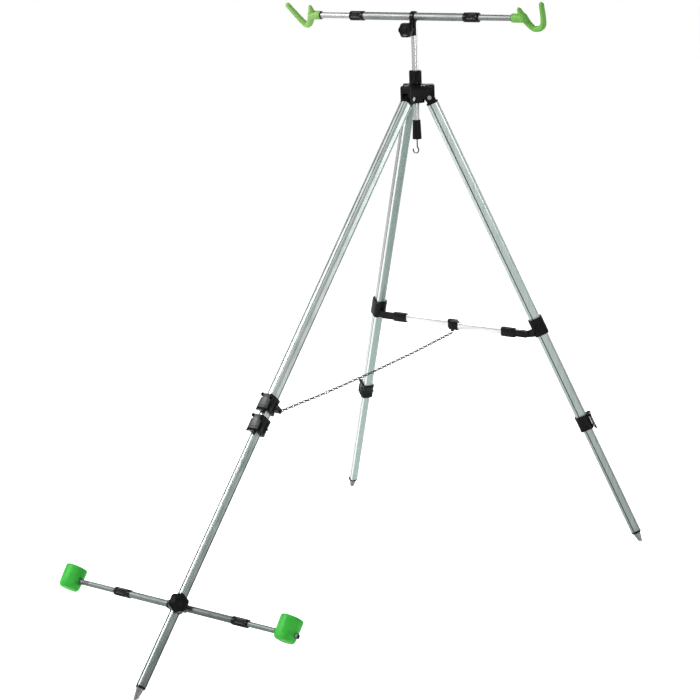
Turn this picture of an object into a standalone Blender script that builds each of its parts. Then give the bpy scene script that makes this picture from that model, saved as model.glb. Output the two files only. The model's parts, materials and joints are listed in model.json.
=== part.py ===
"""A surfcasting rod tripod, at rest as it stands on the beach. Metres, +Z up, +X along the crossbar.

The long rear leg runs towards -Y and carries the butt cups. The two front legs run towards +Y.
Run with: blender --background --python part.py
"""

import math

import bpy
import bmesh
from mathutils import Matrix, Vector

COLLECTION = "surfcasting_rod_tripod"
GAP = 0.0003  # between pieces that touch or slide

# Head and legs
PIVOT_HEIGHT = 1.22
PIVOT_RADIUS = 0.035
HEAD_Y = 0.436  # puts the origin midway between the rear foot and the front feet
REAR_TILT = math.radians(43.4)
FRONT_TILT = math.radians(23.9)
FRONT_TURN = math.radians(122.6)  # each front leg is the rear leg turned by this about the column
REAR_LENGTH = 1.6803
FRONT_LENGTH = 1.3349

# Leg sections: width along the leg's hinge, depth across it, corner radius
WALL = 0.0015
UPPER_SECTION = (0.025, 0.029, 0.008)
MIDDLE_SECTION = (0.0214, 0.0254, 0.007)
LOWER_SECTION = (0.0178, 0.0218, 0.006)

# Places along a leg, as distances from its pivot
TUBE_TOP = 0.0183
FRONT_LOCK = 0.965
SPREADER_COLLAR = 0.672
REAR_UPPER_LOCK = 0.912
REAR_LOWER_LOCK = 0.969
SPIKE_LENGTH = 0.032
FRONT_LOWER_TOP = 0.640
REAR_MIDDLE_TOP = 0.060
REAR_LOWER_TOP = 0.820

# Leg locks
LOCK_WIDTH = 0.034
LOCK_DEPTH = 0.037
LOCK_LENGTH = 0.042
LOCK_CORNER = 0.009
LEVER_WIDTH = 0.022
LEVER_THICKNESS = 0.007
LEVER_LENGTH = 0.044
LEVER_WING = 0.0155  # the lever is this wide each way below its ears
LUG_REACH = 0.045  # from the rear leg's axis to the chain's eye
LUG_PLACE = 0.905

# Yoke
YOKE_TOP = 0.033
YOKE_ARM_WIDTH = 0.030
YOKE_SKIRT = 0.0066  # the web between the arms starts above the bolt heads
YOKE_PLATE = 0.021
YOKE_HUB_RADIUS = 0.024
BARREL_RADIUS = 0.0135
TONGUE_THICKNESS = 0.0168
TONGUE_RADIUS = 0.012
BOLT_RADIUS = 0.003
BLOCK_TOP = 0.0142  # distance from the pivot to the knuckle's shoulder

# Column, heights measured from the leg pivots
COLUMN_RADIUS = 0.008
COLUMN_TOP = 0.191
SLEEVE_RADIUS = 0.0162
SLEEVE_TOP = 0.0695
CAP_RADIUS = 0.0112
CAP_TOP = -0.058
CAP_BOTTOM = -0.108
HOOK_WIRE = 0.0018
HOOK_SHANK = 0.020
HOOK_RADIUS = 0.0085

# Crossbar
BAR_HEIGHT = 0.2065
BAR_RADIUS = 0.010
BAR_HALF = 0.165
BAR_WALL = 0.0015
BAR_LOCK = (0.154, 0.198)
BAR_LOCK_RADIUS = 0.0124
ARM_RADIUS = 0.0076
ARM_SPAN = (0.090, 0.320)
BRACKET_BOTTOM = 0.1586
BRACKET_RING = 0.014
CROSS_KNOB_HEIGHT = 0.175
CROSS_KNOB_NEAR = 0.030
CROSS_KNOB_RADIUS = 0.020
CROSS_KNOB_THICKNESS = 0.014
KNOB_LOBES = 6

# Rod rests
REST_SOCKET = (0.294, 0.334)
REST_SOCKET_RADIUS = 0.0117
REST_BORE_DEPTH = 0.028
REST_TILT = math.radians(30)
REST_WIRE = {-1: 0.0084, 1: 0.0076}
REST_ROUTE = {
    -1: ((-0.004, 0.002), (0.005, -0.018), (0.019, -0.031), (0.032, -0.022), (0.063, 0.036)),
    1: ((-0.004, 0.002), (0.003, -0.018), (0.0175, -0.032), (0.043, -0.019), (0.057, 0.046)),
}
REST_SPUR = ((-0.009, 0.003), (-0.012, 0.027))
REST_SPUR_RADII = (0.0105, 0.0056)

# Cup bar, carried by the rear leg
CUP_CLAMP = 1.447
HUB_RADIUS = 0.020
CUP_TUBE_RADIUS = 0.008
CUP_TUBE_WALL = 0.0013
CUP_ARM_RADIUS = 0.0062
CUP_KNOB_TURN = math.radians(38)  # the knob faces this far round the leg from its outer side
CUP_KNOB_NEAR = 0.0285
CUP_KNOB_RADIUS = 0.0237
CUP_KNOB_THICKNESS = 0.014
CUP_LOCK_RADIUS = 0.010
CUP_TUBE_START = 0.016
CUP_LOCK_SPAN = {-1: (0.1435, 0.193), 1: (0.164, 0.210)}
CUP_ARM_SPAN = {-1: (0.085, 0.354), 1: (0.085, 0.350)}
CUP_CENTRE = {-1: 0.335, 1: 0.317}
CUP_RADIUS = 0.027
CUP_BASE = {-1: -0.024, 1: -0.018}  # the left cup sits lower on its arm
CUP_HEIGHT = 0.056
CUP_FLOOR = {-1: 0.0085, 1: 0.011}
CUP_WALL = 0.004
ROD_PITCH = math.radians(40.2)  # the rod, and so the cup, leans this far from upright towards the head

# Spreader between the front legs
SPREADER_REACH = 0.034
SPREADER_PIVOT = 0.6794
HALF_LENGTH = 0.235
HALF_NEAR = 0.0007
HALF_FAR = 0.0124
FORK_RADIUS = 0.009
FORK_CHEEK = 0.0026
SOCKET_SPAN = (0.034, 0.078)
SOCKET_HEIGHT = 0.026
SPREADER_BAR_HEIGHT = 0.019
KNEE_START = 0.214
KNEE_PAST = 0.010
CHAIN_EYE_DROP = 0.018

# Chain
CHAIN_SEGMENTS = 4
CHAIN_RADIUS = 0.003
CHAIN_SAG = 0.008
CHAIN_START = 0.0105  # the first stretch begins clear of the lug
CHAIN_FOLD_GAP = 0.0073  # the first two stretches stop this far from the joint where the chain doubles back

ROUND = 24
SMALL_ROUND = 16

BLACK = (0.012, 0.012, 0.013)
ALUMINIUM = (0.62, 0.68, 0.66)
STEEL = (0.50, 0.50, 0.51)
GREEN = (0.10, 0.52, 0.06)
SIDES = {-1: "left", 1: "right"}

# Matrices that lay an outline drawn in the XY plane into another plane
ACROSS_X = Matrix(((0, 0, 1, 0), (1, 0, 0, 0), (0, 1, 0, 0), (0, 0, 0, 1)))
ACROSS_Y = Matrix(((1, 0, 0, 0), (0, 0, -1, 0), (0, 1, 0, 0), (0, 0, 0, 1)))


# ---------------------------------------------------------------- scene and materials


def clear_scene():
    for thing in list(bpy.data.objects):
        bpy.data.objects.remove(thing, do_unlink=True)


def new_collection(name):
    collection = bpy.data.collections.new(name)
    bpy.context.scene.collection.children.link(collection)
    return collection


def principled(name, colour, roughness, metallic):
    material = bpy.data.materials.new(name)
    material.use_nodes = True
    shader = material.node_tree.nodes["Principled BSDF"]
    shader.inputs["Base Color"].default_value = (*colour, 1.0)
    shader.inputs["Roughness"].default_value = roughness
    shader.inputs["Metallic"].default_value = metallic
    material.diffuse_color = (*colour, 1.0)
    return material


# ---------------------------------------------------------------- frames


def frame(name, matrix=None, parent=None):
    """An empty. Its matrix is relative to its parent."""
    empty = bpy.data.objects.new(name, None)
    empty.empty_display_size = 0.03
    PARTS.objects.link(empty)
    empty.parent = parent
    empty.matrix_basis = matrix or Matrix()
    return empty


def moved(x=0.0, y=0.0, z=0.0):
    return Matrix.Translation((x, y, z))


def turned_by(angle, axis):
    return Matrix.Rotation(angle, 4, axis)


def world_of(empty):
    matrix = Matrix()
    while empty:
        matrix = empty.matrix_basis @ matrix
        empty = empty.parent
    return matrix


# ---------------------------------------------------------------- shapes, each an object in a frame


def shape_object(name, data, parent):
    thing = bpy.data.objects.new(name, data)
    HELPERS.objects.link(thing)
    thing.parent = parent
    thing.hide_render = True
    thing.display_type = "WIRE"
    return thing


def from_bmesh(name, shape, parent):
    mesh = bpy.data.meshes.new(name)
    bmesh.ops.recalc_face_normals(shape, faces=shape.faces)
    if shape.calc_volume(signed=True) < 0:
        bmesh.ops.reverse_faces(shape, faces=shape.faces)
    shape.to_mesh(mesh)
    shape.free()
    return shape_object(name, mesh, parent)


def rod(name, parent, radius, start, end, axis="Z", at=(0, 0, 0), end_radius=None, segments=ROUND):
    """A cylinder or cone along an axis, from start to end."""
    shape = bmesh.new()
    far_radius = radius if end_radius is None else end_radius
    turn = {"Z": Matrix(), "X": turned_by(math.pi / 2, "Y"), "Y": turned_by(-math.pi / 2, "X")}[axis]
    place = moved(*at) @ turn @ moved(z=(start + end) / 2)
    bmesh.ops.create_cone(
        shape, cap_ends=True, segments=segments, radius1=radius, radius2=far_radius,
        depth=end - start, matrix=place,
    )
    return from_bmesh(name, shape, parent)


def block(name, parent, low, high, rounding=0.0, steps=2):
    """A box from its low to its high corner, with its edges rounded."""
    low, high = Vector(low), Vector(high)
    shape = bmesh.new()
    size = Matrix.Diagonal((*(high - low), 1.0))
    bmesh.ops.create_cube(shape, size=1.0, matrix=moved(*((low + high) / 2)) @ size)
    if rounding:
        bmesh.ops.bevel(
            shape, geom=shape.edges[:], offset=rounding, offset_type="OFFSET", segments=steps,
            profile=0.5, affect="EDGES", clamp_overlap=True,
        )
    return from_bmesh(name, shape, parent)


def ball(name, parent, radius):
    shape = bmesh.new()
    bmesh.ops.create_uvsphere(shape, u_segments=20, v_segments=12, radius=radius)
    return from_bmesh(name, shape, parent)


def mesh_from_curve(name, curve, parent, matrix=None):
    """The curve as a closed mesh object, so that it can be cut and joined."""
    source = bpy.data.objects.new(name, curve)
    bpy.context.scene.collection.objects.link(source)
    graph = bpy.context.evaluated_depsgraph_get()
    mesh = bpy.data.meshes.new_from_object(source.evaluated_get(graph))
    bpy.data.objects.remove(source)
    bpy.data.curves.remove(curve)
    shape = bmesh.new()
    shape.from_mesh(mesh)
    bpy.data.meshes.remove(mesh)
    bmesh.ops.remove_doubles(shape, verts=shape.verts, dist=1e-6)
    shape.transform(matrix or Matrix())
    return from_bmesh(name, shape, parent)


def prism(name, parent, outlines, start, end, matrix=None):
    """Closed outlines, the first the outside and the others holes, extruded along Z."""
    curve = bpy.data.curves.new(name, "CURVE")
    curve.dimensions = "2D"
    curve.fill_mode = "BOTH"
    curve.extrude = (end - start) / 2
    for outline in outlines:
        spline = curve.splines.new("POLY")
        spline.points.add(len(outline) - 1)
        for point, (x, y) in zip(spline.points, outline):
            point.co = (x, y, 0.0, 1.0)
        spline.use_cyclic_u = True
    return mesh_from_curve(name, curve, parent, (matrix or Matrix()) @ moved(z=(start + end) / 2))


def wire(name, parent, points, radius, resolution=2, matrix=None):
    """A round wire along a route."""
    curve = bpy.data.curves.new(name, "CURVE")
    curve.dimensions = "3D"
    curve.bevel_depth = radius
    curve.bevel_resolution = resolution
    curve.use_fill_caps = True
    spline = curve.splines.new("POLY")
    spline.points.add(len(points) - 1)
    for point, place in zip(spline.points, points):
        point.co = (*place, 1.0)
    return mesh_from_curve(name, curve, parent, matrix)


def lathe(name, parent, profile, segments=ROUND):
    """A turned shape: (radius, height) pairs from the top of the axis down to its foot."""
    mesh = bpy.data.meshes.new(name)
    edges = [(i, i + 1) for i in range(len(profile) - 1)]
    mesh.from_pydata([(radius, 0.0, height) for radius, height in profile], edges, [])
    thing = shape_object(name, mesh, parent)
    screw = thing.modifiers.new("turn", "SCREW")
    screw.axis = "Z"
    screw.steps = screw.render_steps = segments
    screw.use_merge_vertices = True
    screw.merge_threshold = 1e-5
    return thing


# ---------------------------------------------------------------- outlines


def arc(centre, radius, start, end, steps):
    """Points on an arc, its angles in degrees."""
    points = []
    for i in range(steps + 1):
        angle = math.radians(start + (end - start) * i / steps)
        points.append((centre[0] + radius * math.cos(angle), centre[1] + radius * math.sin(angle)))
    return points


def circle(radius, steps=ROUND):
    return arc((0, 0), radius, 0, 360 * (1 - 1 / steps), steps - 1)


def rounded_rectangle(section, grow=0.0, steps=3):
    width, depth, corner = section
    x, y, radius = width / 2 + grow, depth / 2 + grow, corner + grow
    points = []
    for quarter, (sx, sy) in enumerate(((1, 1), (-1, 1), (-1, -1), (1, -1))):
        centre = (sx * (x - radius), sy * (y - radius))
        points += arc(centre, radius, 90 * quarter, 90 * quarter + 90, steps)
    return points


def lobed(radius, lobes, steps_per_lobe=6, depth=0.12):
    steps = lobes * steps_per_lobe
    points = []
    for i in range(steps):
        angle = 2 * math.pi * i / steps
        reach = radius * (1 - depth / 2 + depth / 2 * math.cos(lobes * angle))
        points.append((reach * math.cos(angle), reach * math.sin(angle)))
    return points


def smooth_route(points, per_span=3):
    """Catmull-Rom points through a route in a plane."""
    padded = [points[0], *points, points[-1]]
    found = []
    for i in range(len(points) - 1):
        a, b, c, d = (Vector(p) for p in padded[i : i + 4])
        for step in range(per_span):
            t = step / per_span
            found.append(
                0.5 * (2 * b + (c - a) * t + (2 * a - 5 * b + 4 * c - d) * t**2
                       + (3 * b - a - 3 * c + d) * t**3)
            )
    found.append(Vector(points[-1]))
    return found


# ---------------------------------------------------------------- nodes


def add_boolean(body, operation, shape):
    boolean = body.modifiers.new(operation.lower(), "BOOLEAN")
    boolean.operation = operation
    boolean.solver = "EXACT"
    boolean.object = shape


def node(name, body, material, joined=(), cut=()):
    """Turns a shape into a named sub-part, joined with some shapes and then cut by others."""
    HELPERS.objects.unlink(body)
    PARTS.objects.link(body)
    body.name = name
    body.data.name = name
    body.hide_render = False
    body.display_type = "TEXTURED"
    for shape in joined:
        add_boolean(body, "UNION", shape)
    for shape in cut:
        add_boolean(body, "DIFFERENCE", shape)
    body.data.materials.clear()
    body.data.materials.append(material)
    body.data.shade_smooth()
    body.data.set_sharp_from_angle(angle=math.radians(35))
    return body


# ---------------------------------------------------------------- head


def arm_outline():
    """Side view of one yoke arm: distance from the column across, height up."""
    under = arc((PIVOT_RADIUS, 0.0), BARREL_RADIUS, 0, -180, 8)
    end = PIVOT_RADIUS + BARREL_RADIUS
    over = [(0.0, YOKE_TOP), (PIVOT_RADIUS + 0.010, YOKE_TOP), (end, YOKE_TOP - 0.004)]
    return [*over, *under, (0.012, -BARREL_RADIUS), (0.0, -BARREL_RADIUS)]


def side_view(turn):
    """Places an outline drawn as (outwards, up) in the plane of the leg turned by this angle."""
    outwards = Matrix(((0, 0, -1, 0), (-1, 0, 0, 0), (0, 1, 0, 0), (0, 0, 0, 1)))
    return turned_by(turn, "Z") @ outwards


def yoke_plan(share):
    """The web's outline from above: straight edges from arm to arm."""
    half = YOKE_ARM_WIDTH / 2 - 0.001
    points = []
    for turn in (0.0, FRONT_TURN, -FRONT_TURN):
        for x in (-half, half):
            corner = turned_by(turn, "Z") @ Vector((x, -PIVOT_RADIUS - 0.009, 0.0))
            points.append((share * corner.x, share * corner.y))
    return points


def make_yoke(head):
    arms, cuts = [], []
    slot = TONGUE_THICKNESS / 2 + 0.0004
    for name, turn in LEG_TURNS.items():
        half = YOKE_ARM_WIDTH / 2
        arms.append(prism(f"yoke_arm_{name}", head, [arm_outline()], -half, half, side_view(turn)))
        reach = PIVOT_RADIUS + 0.05
        outline = [(0.0205, -0.03), (reach, -0.03), (reach, 0.015), (0.0205, 0.015)]
        cuts.append(prism(f"yoke_slot_{name}", head, [outline], -slot, slot, side_view(turn)))
        hole = prism(f"yoke_bolt_hole_{name}", head, [circle(BOLT_RADIUS + GAP, SMALL_ROUND)], -0.03, 0.03,
                     side_view(turn) @ moved(PIVOT_RADIUS, 0.0))
        cuts.append(hole)
    cuts.append(rod("yoke_bore", head, COLUMN_RADIUS + 0.0004, -0.05, 0.08))
    skirt = prism("yoke_skirt", head, [yoke_plan(0.86)], YOKE_SKIRT, YOKE_PLATE + 0.001)
    plate = prism("yoke_plate", head, [yoke_plan(1.0)], YOKE_PLATE, YOKE_TOP - 0.0012)
    hub = rod("hub", head, YOKE_HUB_RADIUS, -BARREL_RADIUS + 0.0005, YOKE_TOP - 0.0005)
    node("head_yoke", hub, BLACK_PLASTIC, [*arms, skirt, plate], cuts)


def make_pivot_bolt(name, head, turn):
    """A bolt across the yoke arm, with its head on one side and its nut on the other."""
    half = YOKE_ARM_WIDTH / 2 + GAP
    place = side_view(turn) @ moved(PIVOT_RADIUS, 0.0)
    profile = [(0.0, half + 0.003), (0.0055, half + 0.003), (0.0055, half), (BOLT_RADIUS, half),
               (BOLT_RADIUS, -half), (0.0055, -half), (0.0055, -half - 0.003), (0.0, -half - 0.003)]
    bolt = lathe(f"{name}_leg_pivot_bolt", frame(f"{name}_bolt_frame", place, head), profile, SMALL_ROUND)
    node(bolt.name, bolt, BRIGHT_STEEL)


def make_column(head):
    sleeve_foot, sleeve_bore = YOKE_TOP + GAP, COLUMN_RADIUS + 0.0004
    sleeve = lathe("sleeve", head, [
        (SLEEVE_RADIUS - 0.002, SLEEVE_TOP), (SLEEVE_RADIUS, SLEEVE_TOP - 0.002), (SLEEVE_RADIUS, sleeve_foot),
        (sleeve_bore, sleeve_foot), (sleeve_bore, SLEEVE_TOP), (SLEEVE_RADIUS - 0.002, SLEEVE_TOP),
    ])
    node("column_lock_sleeve", sleeve, BLACK_PLASTIC)
    foot = CAP_TOP - 0.030
    column = prism("column", head, [circle(COLUMN_RADIUS), circle(COLUMN_RADIUS - WALL)], foot, COLUMN_TOP)
    node("center_column", column, BRUSHED_ALUMINIUM)
    bore = COLUMN_RADIUS + GAP
    cap = lathe("cap", head, [
        (CAP_RADIUS - 0.001, CAP_TOP), (CAP_RADIUS + 0.0008, CAP_BOTTOM + 0.001), (CAP_RADIUS, CAP_BOTTOM),
        (HOOK_WIRE + GAP, CAP_BOTTOM), (HOOK_WIRE + GAP, CAP_BOTTOM + 0.012), (0.0, CAP_BOTTOM + 0.012),
        (0.0, foot - GAP), (bore, foot - GAP), (bore, CAP_TOP), (CAP_RADIUS - 0.001, CAP_TOP),
    ])
    node("column_end_cap", cap, BLACK_PLASTIC)


def make_hook(head):
    """A straight shank under the end cap, then an open hook."""
    shank_foot = CAP_BOTTOM - HOOK_SHANK
    bend = arc((-HOOK_RADIUS * 0.55, shank_foot - HOOK_RADIUS), HOOK_RADIUS, 50, -200, 12)
    points = [(0.0, 0.0, CAP_BOTTOM + 0.010), (0.0, 0.0, shank_foot)]
    points += [(x, 0.0, z) for x, z in bend]
    hook = wire("hook", head, points, HOOK_WIRE)
    node("weight_hook", hook, BRIGHT_STEEL)


# ---------------------------------------------------------------- legs, which run down -Z in their own frames


def section_solid(name, leg, section, start, end, grow=0.0):
    """A full prism of the section between two distances from the pivot."""
    return prism(name, leg, [rounded_rectangle(section, grow)], -end, -start)


def hollow_tube(name, leg, section, start, end):
    inner = (section[0] - 2 * WALL, section[1] - 2 * WALL, section[2] - WALL)
    tube = prism(name, leg, [rounded_rectangle(section), rounded_rectangle(inner)], -end, -start)
    node(name, tube, BRUSHED_ALUMINIUM)


def make_knuckle(name, leg):
    """Black top fitting: a round tongue on the bolt, a shoulder and a plug in the upper tube."""
    half = TONGUE_THICKNESS / 2
    outline = [*arc((0, 0), TONGUE_RADIUS, 0, 180, 12), (-TONGUE_RADIUS, -BLOCK_TOP - 0.001),
               (TONGUE_RADIUS, -BLOCK_TOP - 0.001)]
    tongue = prism("tongue", leg, [outline], -half, half, ACROSS_X)
    shoulder = section_solid("shoulder", leg, UPPER_SECTION, BLOCK_TOP, TUBE_TOP - GAP, 0.001)
    plug = section_solid("plug", leg, UPPER_SECTION, BLOCK_TOP + 0.001, 0.046, -WALL - GAP)
    hole = prism("tongue_hole", leg, [circle(BOLT_RADIUS + GAP, SMALL_ROUND)], -0.02, 0.02, ACROSS_X)
    node(f"{name}_leg_knuckle", shoulder, BLACK_PLASTIC, [plug, tongue], [hole])


def lever_hinge_place(centre):
    return moved(0.0, -LOCK_DEPTH / 2 - LEVER_THICKNESS / 2 - GAP, -(centre - LOCK_LENGTH / 2 + 0.005))


def make_lock(name, leg, centre, outer, inner, extra=()):
    """A clamp collar: it grips the end of the outer tube and its lip guides the inner tube."""
    top, foot = centre - LOCK_LENGTH / 2, centre + LOCK_LENGTH / 2
    body_section = (LOCK_WIDTH, LOCK_DEPTH, LOCK_CORNER)
    body = section_solid(f"{name}_body", leg, body_section, top, foot)
    hinge = lever_hinge_place(centre).to_translation()
    ears = []
    for side in SIDES:
        low = (side * (LEVER_WIDTH / 2 + 0.0004), hinge.y - 0.0035, hinge.z - 0.0045)
        high = (side * (LEVER_WIDTH / 2 + 0.0045), -LOCK_DEPTH / 2 + 0.006, hinge.z + 0.0045)
        low, high = map(min, zip(low, high)), map(max, zip(low, high))
        ears.append(block(f"{name}_ear", leg, tuple(low), tuple(high)))
    lip = foot - 0.012
    wide = section_solid(f"{name}_wide_bore", leg, outer, top - 0.01, lip, GAP)
    narrow = section_solid(f"{name}_narrow_bore", leg, inner, lip - 0.001, foot + 0.01, GAP)
    pin = rod(f"{name}_pin_hole", leg, 0.0023, -0.03, 0.03, "X", hinge, segments=12)
    node(name, body, BLACK_PLASTIC, [*ears, *extra], [wide, narrow, pin])


def make_lever(name, leg, centre):
    """The flip lever lies on the leg's outer face, its hinge pin at the top and its tip past the collar."""
    hinge = frame(f"{name}_hinge", lever_hinge_place(centre), leg)
    half = LEVER_WIDTH / 2
    thick = LEVER_THICKNESS / 2
    barrel = rod("barrel", hinge, thick, -half, half, "X", segments=12)
    wings = block("wings", hinge, (-LEVER_WING, -thick + 0.0007, -LEVER_LENGTH + 0.0035),
                  (LEVER_WING, thick - 0.0004, -0.0095), 0.002, 1)
    plate = block("plate", hinge, (-half, -thick, -LEVER_LENGTH), (half, thick, 0.0), 0.0012, 1)
    pin = rod("pin", hinge, 0.002, -half - 0.004, half + 0.004, "X", segments=12)
    node(name, plate, BLACK_PLASTIC, [wings, barrel, pin])


def make_spike(name, leg, length, section, ground):
    """A plug in the tube's foot, a shoulder ring and a cone cut level with the ground."""
    tube_end = length - SPIKE_LENGTH
    inside = min(section[0], section[1]) / 2 - WALL - GAP
    ring = max(section[0], section[1]) / 2 + 0.0012
    spike = lathe("spike", leg, [
        (0.0, -tube_end + 0.02), (inside, -tube_end + 0.02), (inside, -tube_end - GAP),
        (ring, -tube_end - GAP), (ring, -tube_end - 0.0045), (ring - 0.0014, -tube_end - 0.0055),
        (0.0035, -length - 0.004), (0.0, -length - 0.004),
    ], SMALL_ROUND)
    node(f"{name}_leg_spike", spike, BRIGHT_STEEL, cut=[ground])


def make_rear_leg(leg, ground):
    foot = REAR_LENGTH - SPIKE_LENGTH
    make_knuckle("rear", leg)
    hollow_tube("rear_leg_upper_tube", leg, UPPER_SECTION, TUBE_TOP, REAR_UPPER_LOCK + 0.008)
    hollow_tube("rear_leg_middle_tube", leg, MIDDLE_SECTION, REAR_MIDDLE_TOP, REAR_LOWER_LOCK + 0.008)
    hollow_tube("rear_leg_lower_tube", leg, LOWER_SECTION, REAR_LOWER_TOP, foot)
    eye = (0.0, LUG_REACH, -LUG_PLACE)
    lug = block("chain_lug", leg, (-0.003, LOCK_DEPTH / 2 - 0.003, -LUG_PLACE - 0.007),
                (0.003, LUG_REACH + 0.004, -LUG_PLACE + 0.007))
    make_lock("rear_leg_chain_collar", leg, REAR_UPPER_LOCK, UPPER_SECTION, MIDDLE_SECTION, [lug])
    make_lock("rear_leg_lower_lock", leg, REAR_LOWER_LOCK, MIDDLE_SECTION, LOWER_SECTION)
    make_lever("rear_leg_upper_lever", leg, REAR_UPPER_LOCK)
    make_lever("rear_leg_lower_lever", leg, REAR_LOWER_LOCK)
    make_spike("rear", leg, REAR_LENGTH, LOWER_SECTION, ground)
    return world_of(leg) @ Vector(eye)


def make_front_leg(name, leg, pivot_frame, ground):
    foot = FRONT_LENGTH - SPIKE_LENGTH
    make_knuckle(name, leg)
    hollow_tube(f"{name}_leg_upper_tube", leg, UPPER_SECTION, TUBE_TOP, FRONT_LOCK + 0.008)
    hollow_tube(f"{name}_leg_lower_tube", leg, MIDDLE_SECTION, FRONT_LOWER_TOP, foot)
    make_lock(f"{name}_leg_lock", leg, FRONT_LOCK, UPPER_SECTION, MIDDLE_SECTION)
    make_lever(f"{name}_leg_lever", leg, FRONT_LOCK)
    make_spike(name, leg, FRONT_LENGTH, MIDDLE_SECTION, ground)
    make_spreader_collar(name, leg, pivot_frame)


# ---------------------------------------------------------------- spreader


def make_spreader_collar(name, leg, pivot_frame):
    """A collar on the upper tube with a flat lug for the spreader's fork."""
    low, high = SPREADER_COLLAR - 0.024, SPREADER_COLLAR + 0.024
    body = section_solid("collar", leg, (0.035, 0.038, 0.009), low, high)
    middle = (HALF_NEAR + HALF_FAR) / 2
    half = (HALF_FAR - HALF_NEAR) / 2 - FORK_CHEEK - 0.0004
    outline = [*arc((0, 0), FORK_RADIUS - 0.0005, -90, 90, 8), (-0.026, 0.021), (-0.026, -0.004)]
    lug = prism("lug", pivot_frame, [outline], -half, half, moved(y=middle) @ ACROSS_Y)
    bore = section_solid("collar_bore", leg, UPPER_SECTION, low - 0.02, high + 0.02, GAP)
    hole = rod("lug_hole", pivot_frame, 0.0033, -0.01, 0.02, "Y", segments=SMALL_ROUND)
    node(f"{name}_spreader_collar", body, BLACK_PLASTIC, [lug], [bore, hole])


def make_spreader_half(name, pivot_frame):
    """Fork and socket, bar and knee. The two halves are alike, one turned to face the other."""
    near, far = HALF_NEAR, HALF_FAR
    middle = (near + far) / 2
    tall = SOCKET_HEIGHT / 2
    socket = block("socket", pivot_frame, (SOCKET_SPAN[0], near, -tall), (SOCKET_SPAN[1], far, tall), 0.003)
    cheek = [*arc((0, 0), FORK_RADIUS, 90, 270, 8), (SOCKET_SPAN[0] + 0.004, -FORK_RADIUS),
             (SOCKET_SPAN[0] + 0.004, FORK_RADIUS)]
    fork = prism("fork", pivot_frame, [cheek], -far + 0.0003, -near - 0.0003, ACROSS_Y)
    throat = block("throat", pivot_frame, (-0.02, near + FORK_CHEEK, -0.02), (0.012, far - FORK_CHEEK, 0.02))
    pin = rod("fork_pin", pivot_frame, 0.003, near + 0.001, far - 0.001, "Y", segments=SMALL_ROUND)
    bar_low = (SOCKET_SPAN[1] - 0.020, middle - 0.0046, -SPREADER_BAR_HEIGHT / 2)
    bar_high = (KNEE_START + 0.008, middle + 0.0046, SPREADER_BAR_HEIGHT / 2)
    hole_low = Vector(bar_low) - Vector((GAP, GAP, GAP))
    hole_high = Vector(bar_high) + Vector((0.02, GAP, GAP))
    socket_hole = block("socket_hole", pivot_frame, hole_low, hole_high, 0.003)
    forked = node(f"spreader_{name}_socket", socket, BLACK_PLASTIC, [fork], [throat, socket_hole])
    add_boolean(forked, "UNION", pin)
    bar = block("bar", pivot_frame, bar_low, bar_high, 0.003)
    node(f"spreader_{name}_bar", bar, BRUSHED_ALUMINIUM)
    knee_end = HALF_LENGTH + KNEE_PAST
    knee = block("knee", pivot_frame, (KNEE_START, near, -0.013), (knee_end, far, 0.013), 0.0035)
    knee_hole = block("knee_hole", pivot_frame, Vector(bar_low) - Vector((0.0, GAP, GAP)),
                      Vector(bar_high) + Vector((GAP, GAP, GAP)), 0.003)
    rivet_span = (far - 0.002, far + 0.0015)
    rivet = rod("rivet", pivot_frame, 0.005, *rivet_span, "Y", (HALF_LENGTH, 0, 0), segments=SMALL_ROUND)
    extra = [rivet]
    if name == "right":
        eye = block("eye", pivot_frame, (HALF_LENGTH - 0.004, middle - 0.002, -CHAIN_EYE_DROP),
                    (HALF_LENGTH + 0.004, middle + 0.002, -0.010))
        extra.append(eye)
    node(f"spreader_{name}_knee", knee, BLACK_PLASTIC, extra, [knee_hole])


def spreader_pivot(leg):
    """Where a half hinges, on the inner side of a front leg."""
    return world_of(leg) @ Vector((0.0, SPREADER_REACH, -SPREADER_PIVOT))


# ---------------------------------------------------------------- chain


def make_chain(start, end):
    """Rigid stretches end to end from the rear collar's lug to the knee, sagging a little."""
    count = CHAIN_SEGMENTS
    points = []
    for i in range(count + 1):
        t = i / count
        points.append(start.lerp(end, t) - Vector((0.0, 0.0, 4 * CHAIN_SAG * t * (1 - t))))
    for i, (a, b) in enumerate(zip(points, points[1:])):
        run = b - a
        turn = math.atan2(run.z, run.y)
        hinge = frame(f"chain_{i + 1}_hinge", moved(*a) @ turned_by(turn, "X"))
        first = (CHAIN_START, CHAIN_FOLD_GAP, GAP, GAP)[i]
        last = run.length - (CHAIN_FOLD_GAP, GAP, GAP, 0.0010)[i]
        stretch = rod("stretch", hinge, CHAIN_RADIUS, first, last, "Y", segments=8)
        node(f"chain_segment_{i + 1}", stretch, BRIGHT_STEEL)


# ---------------------------------------------------------------- crossbar and rod rests


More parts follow.
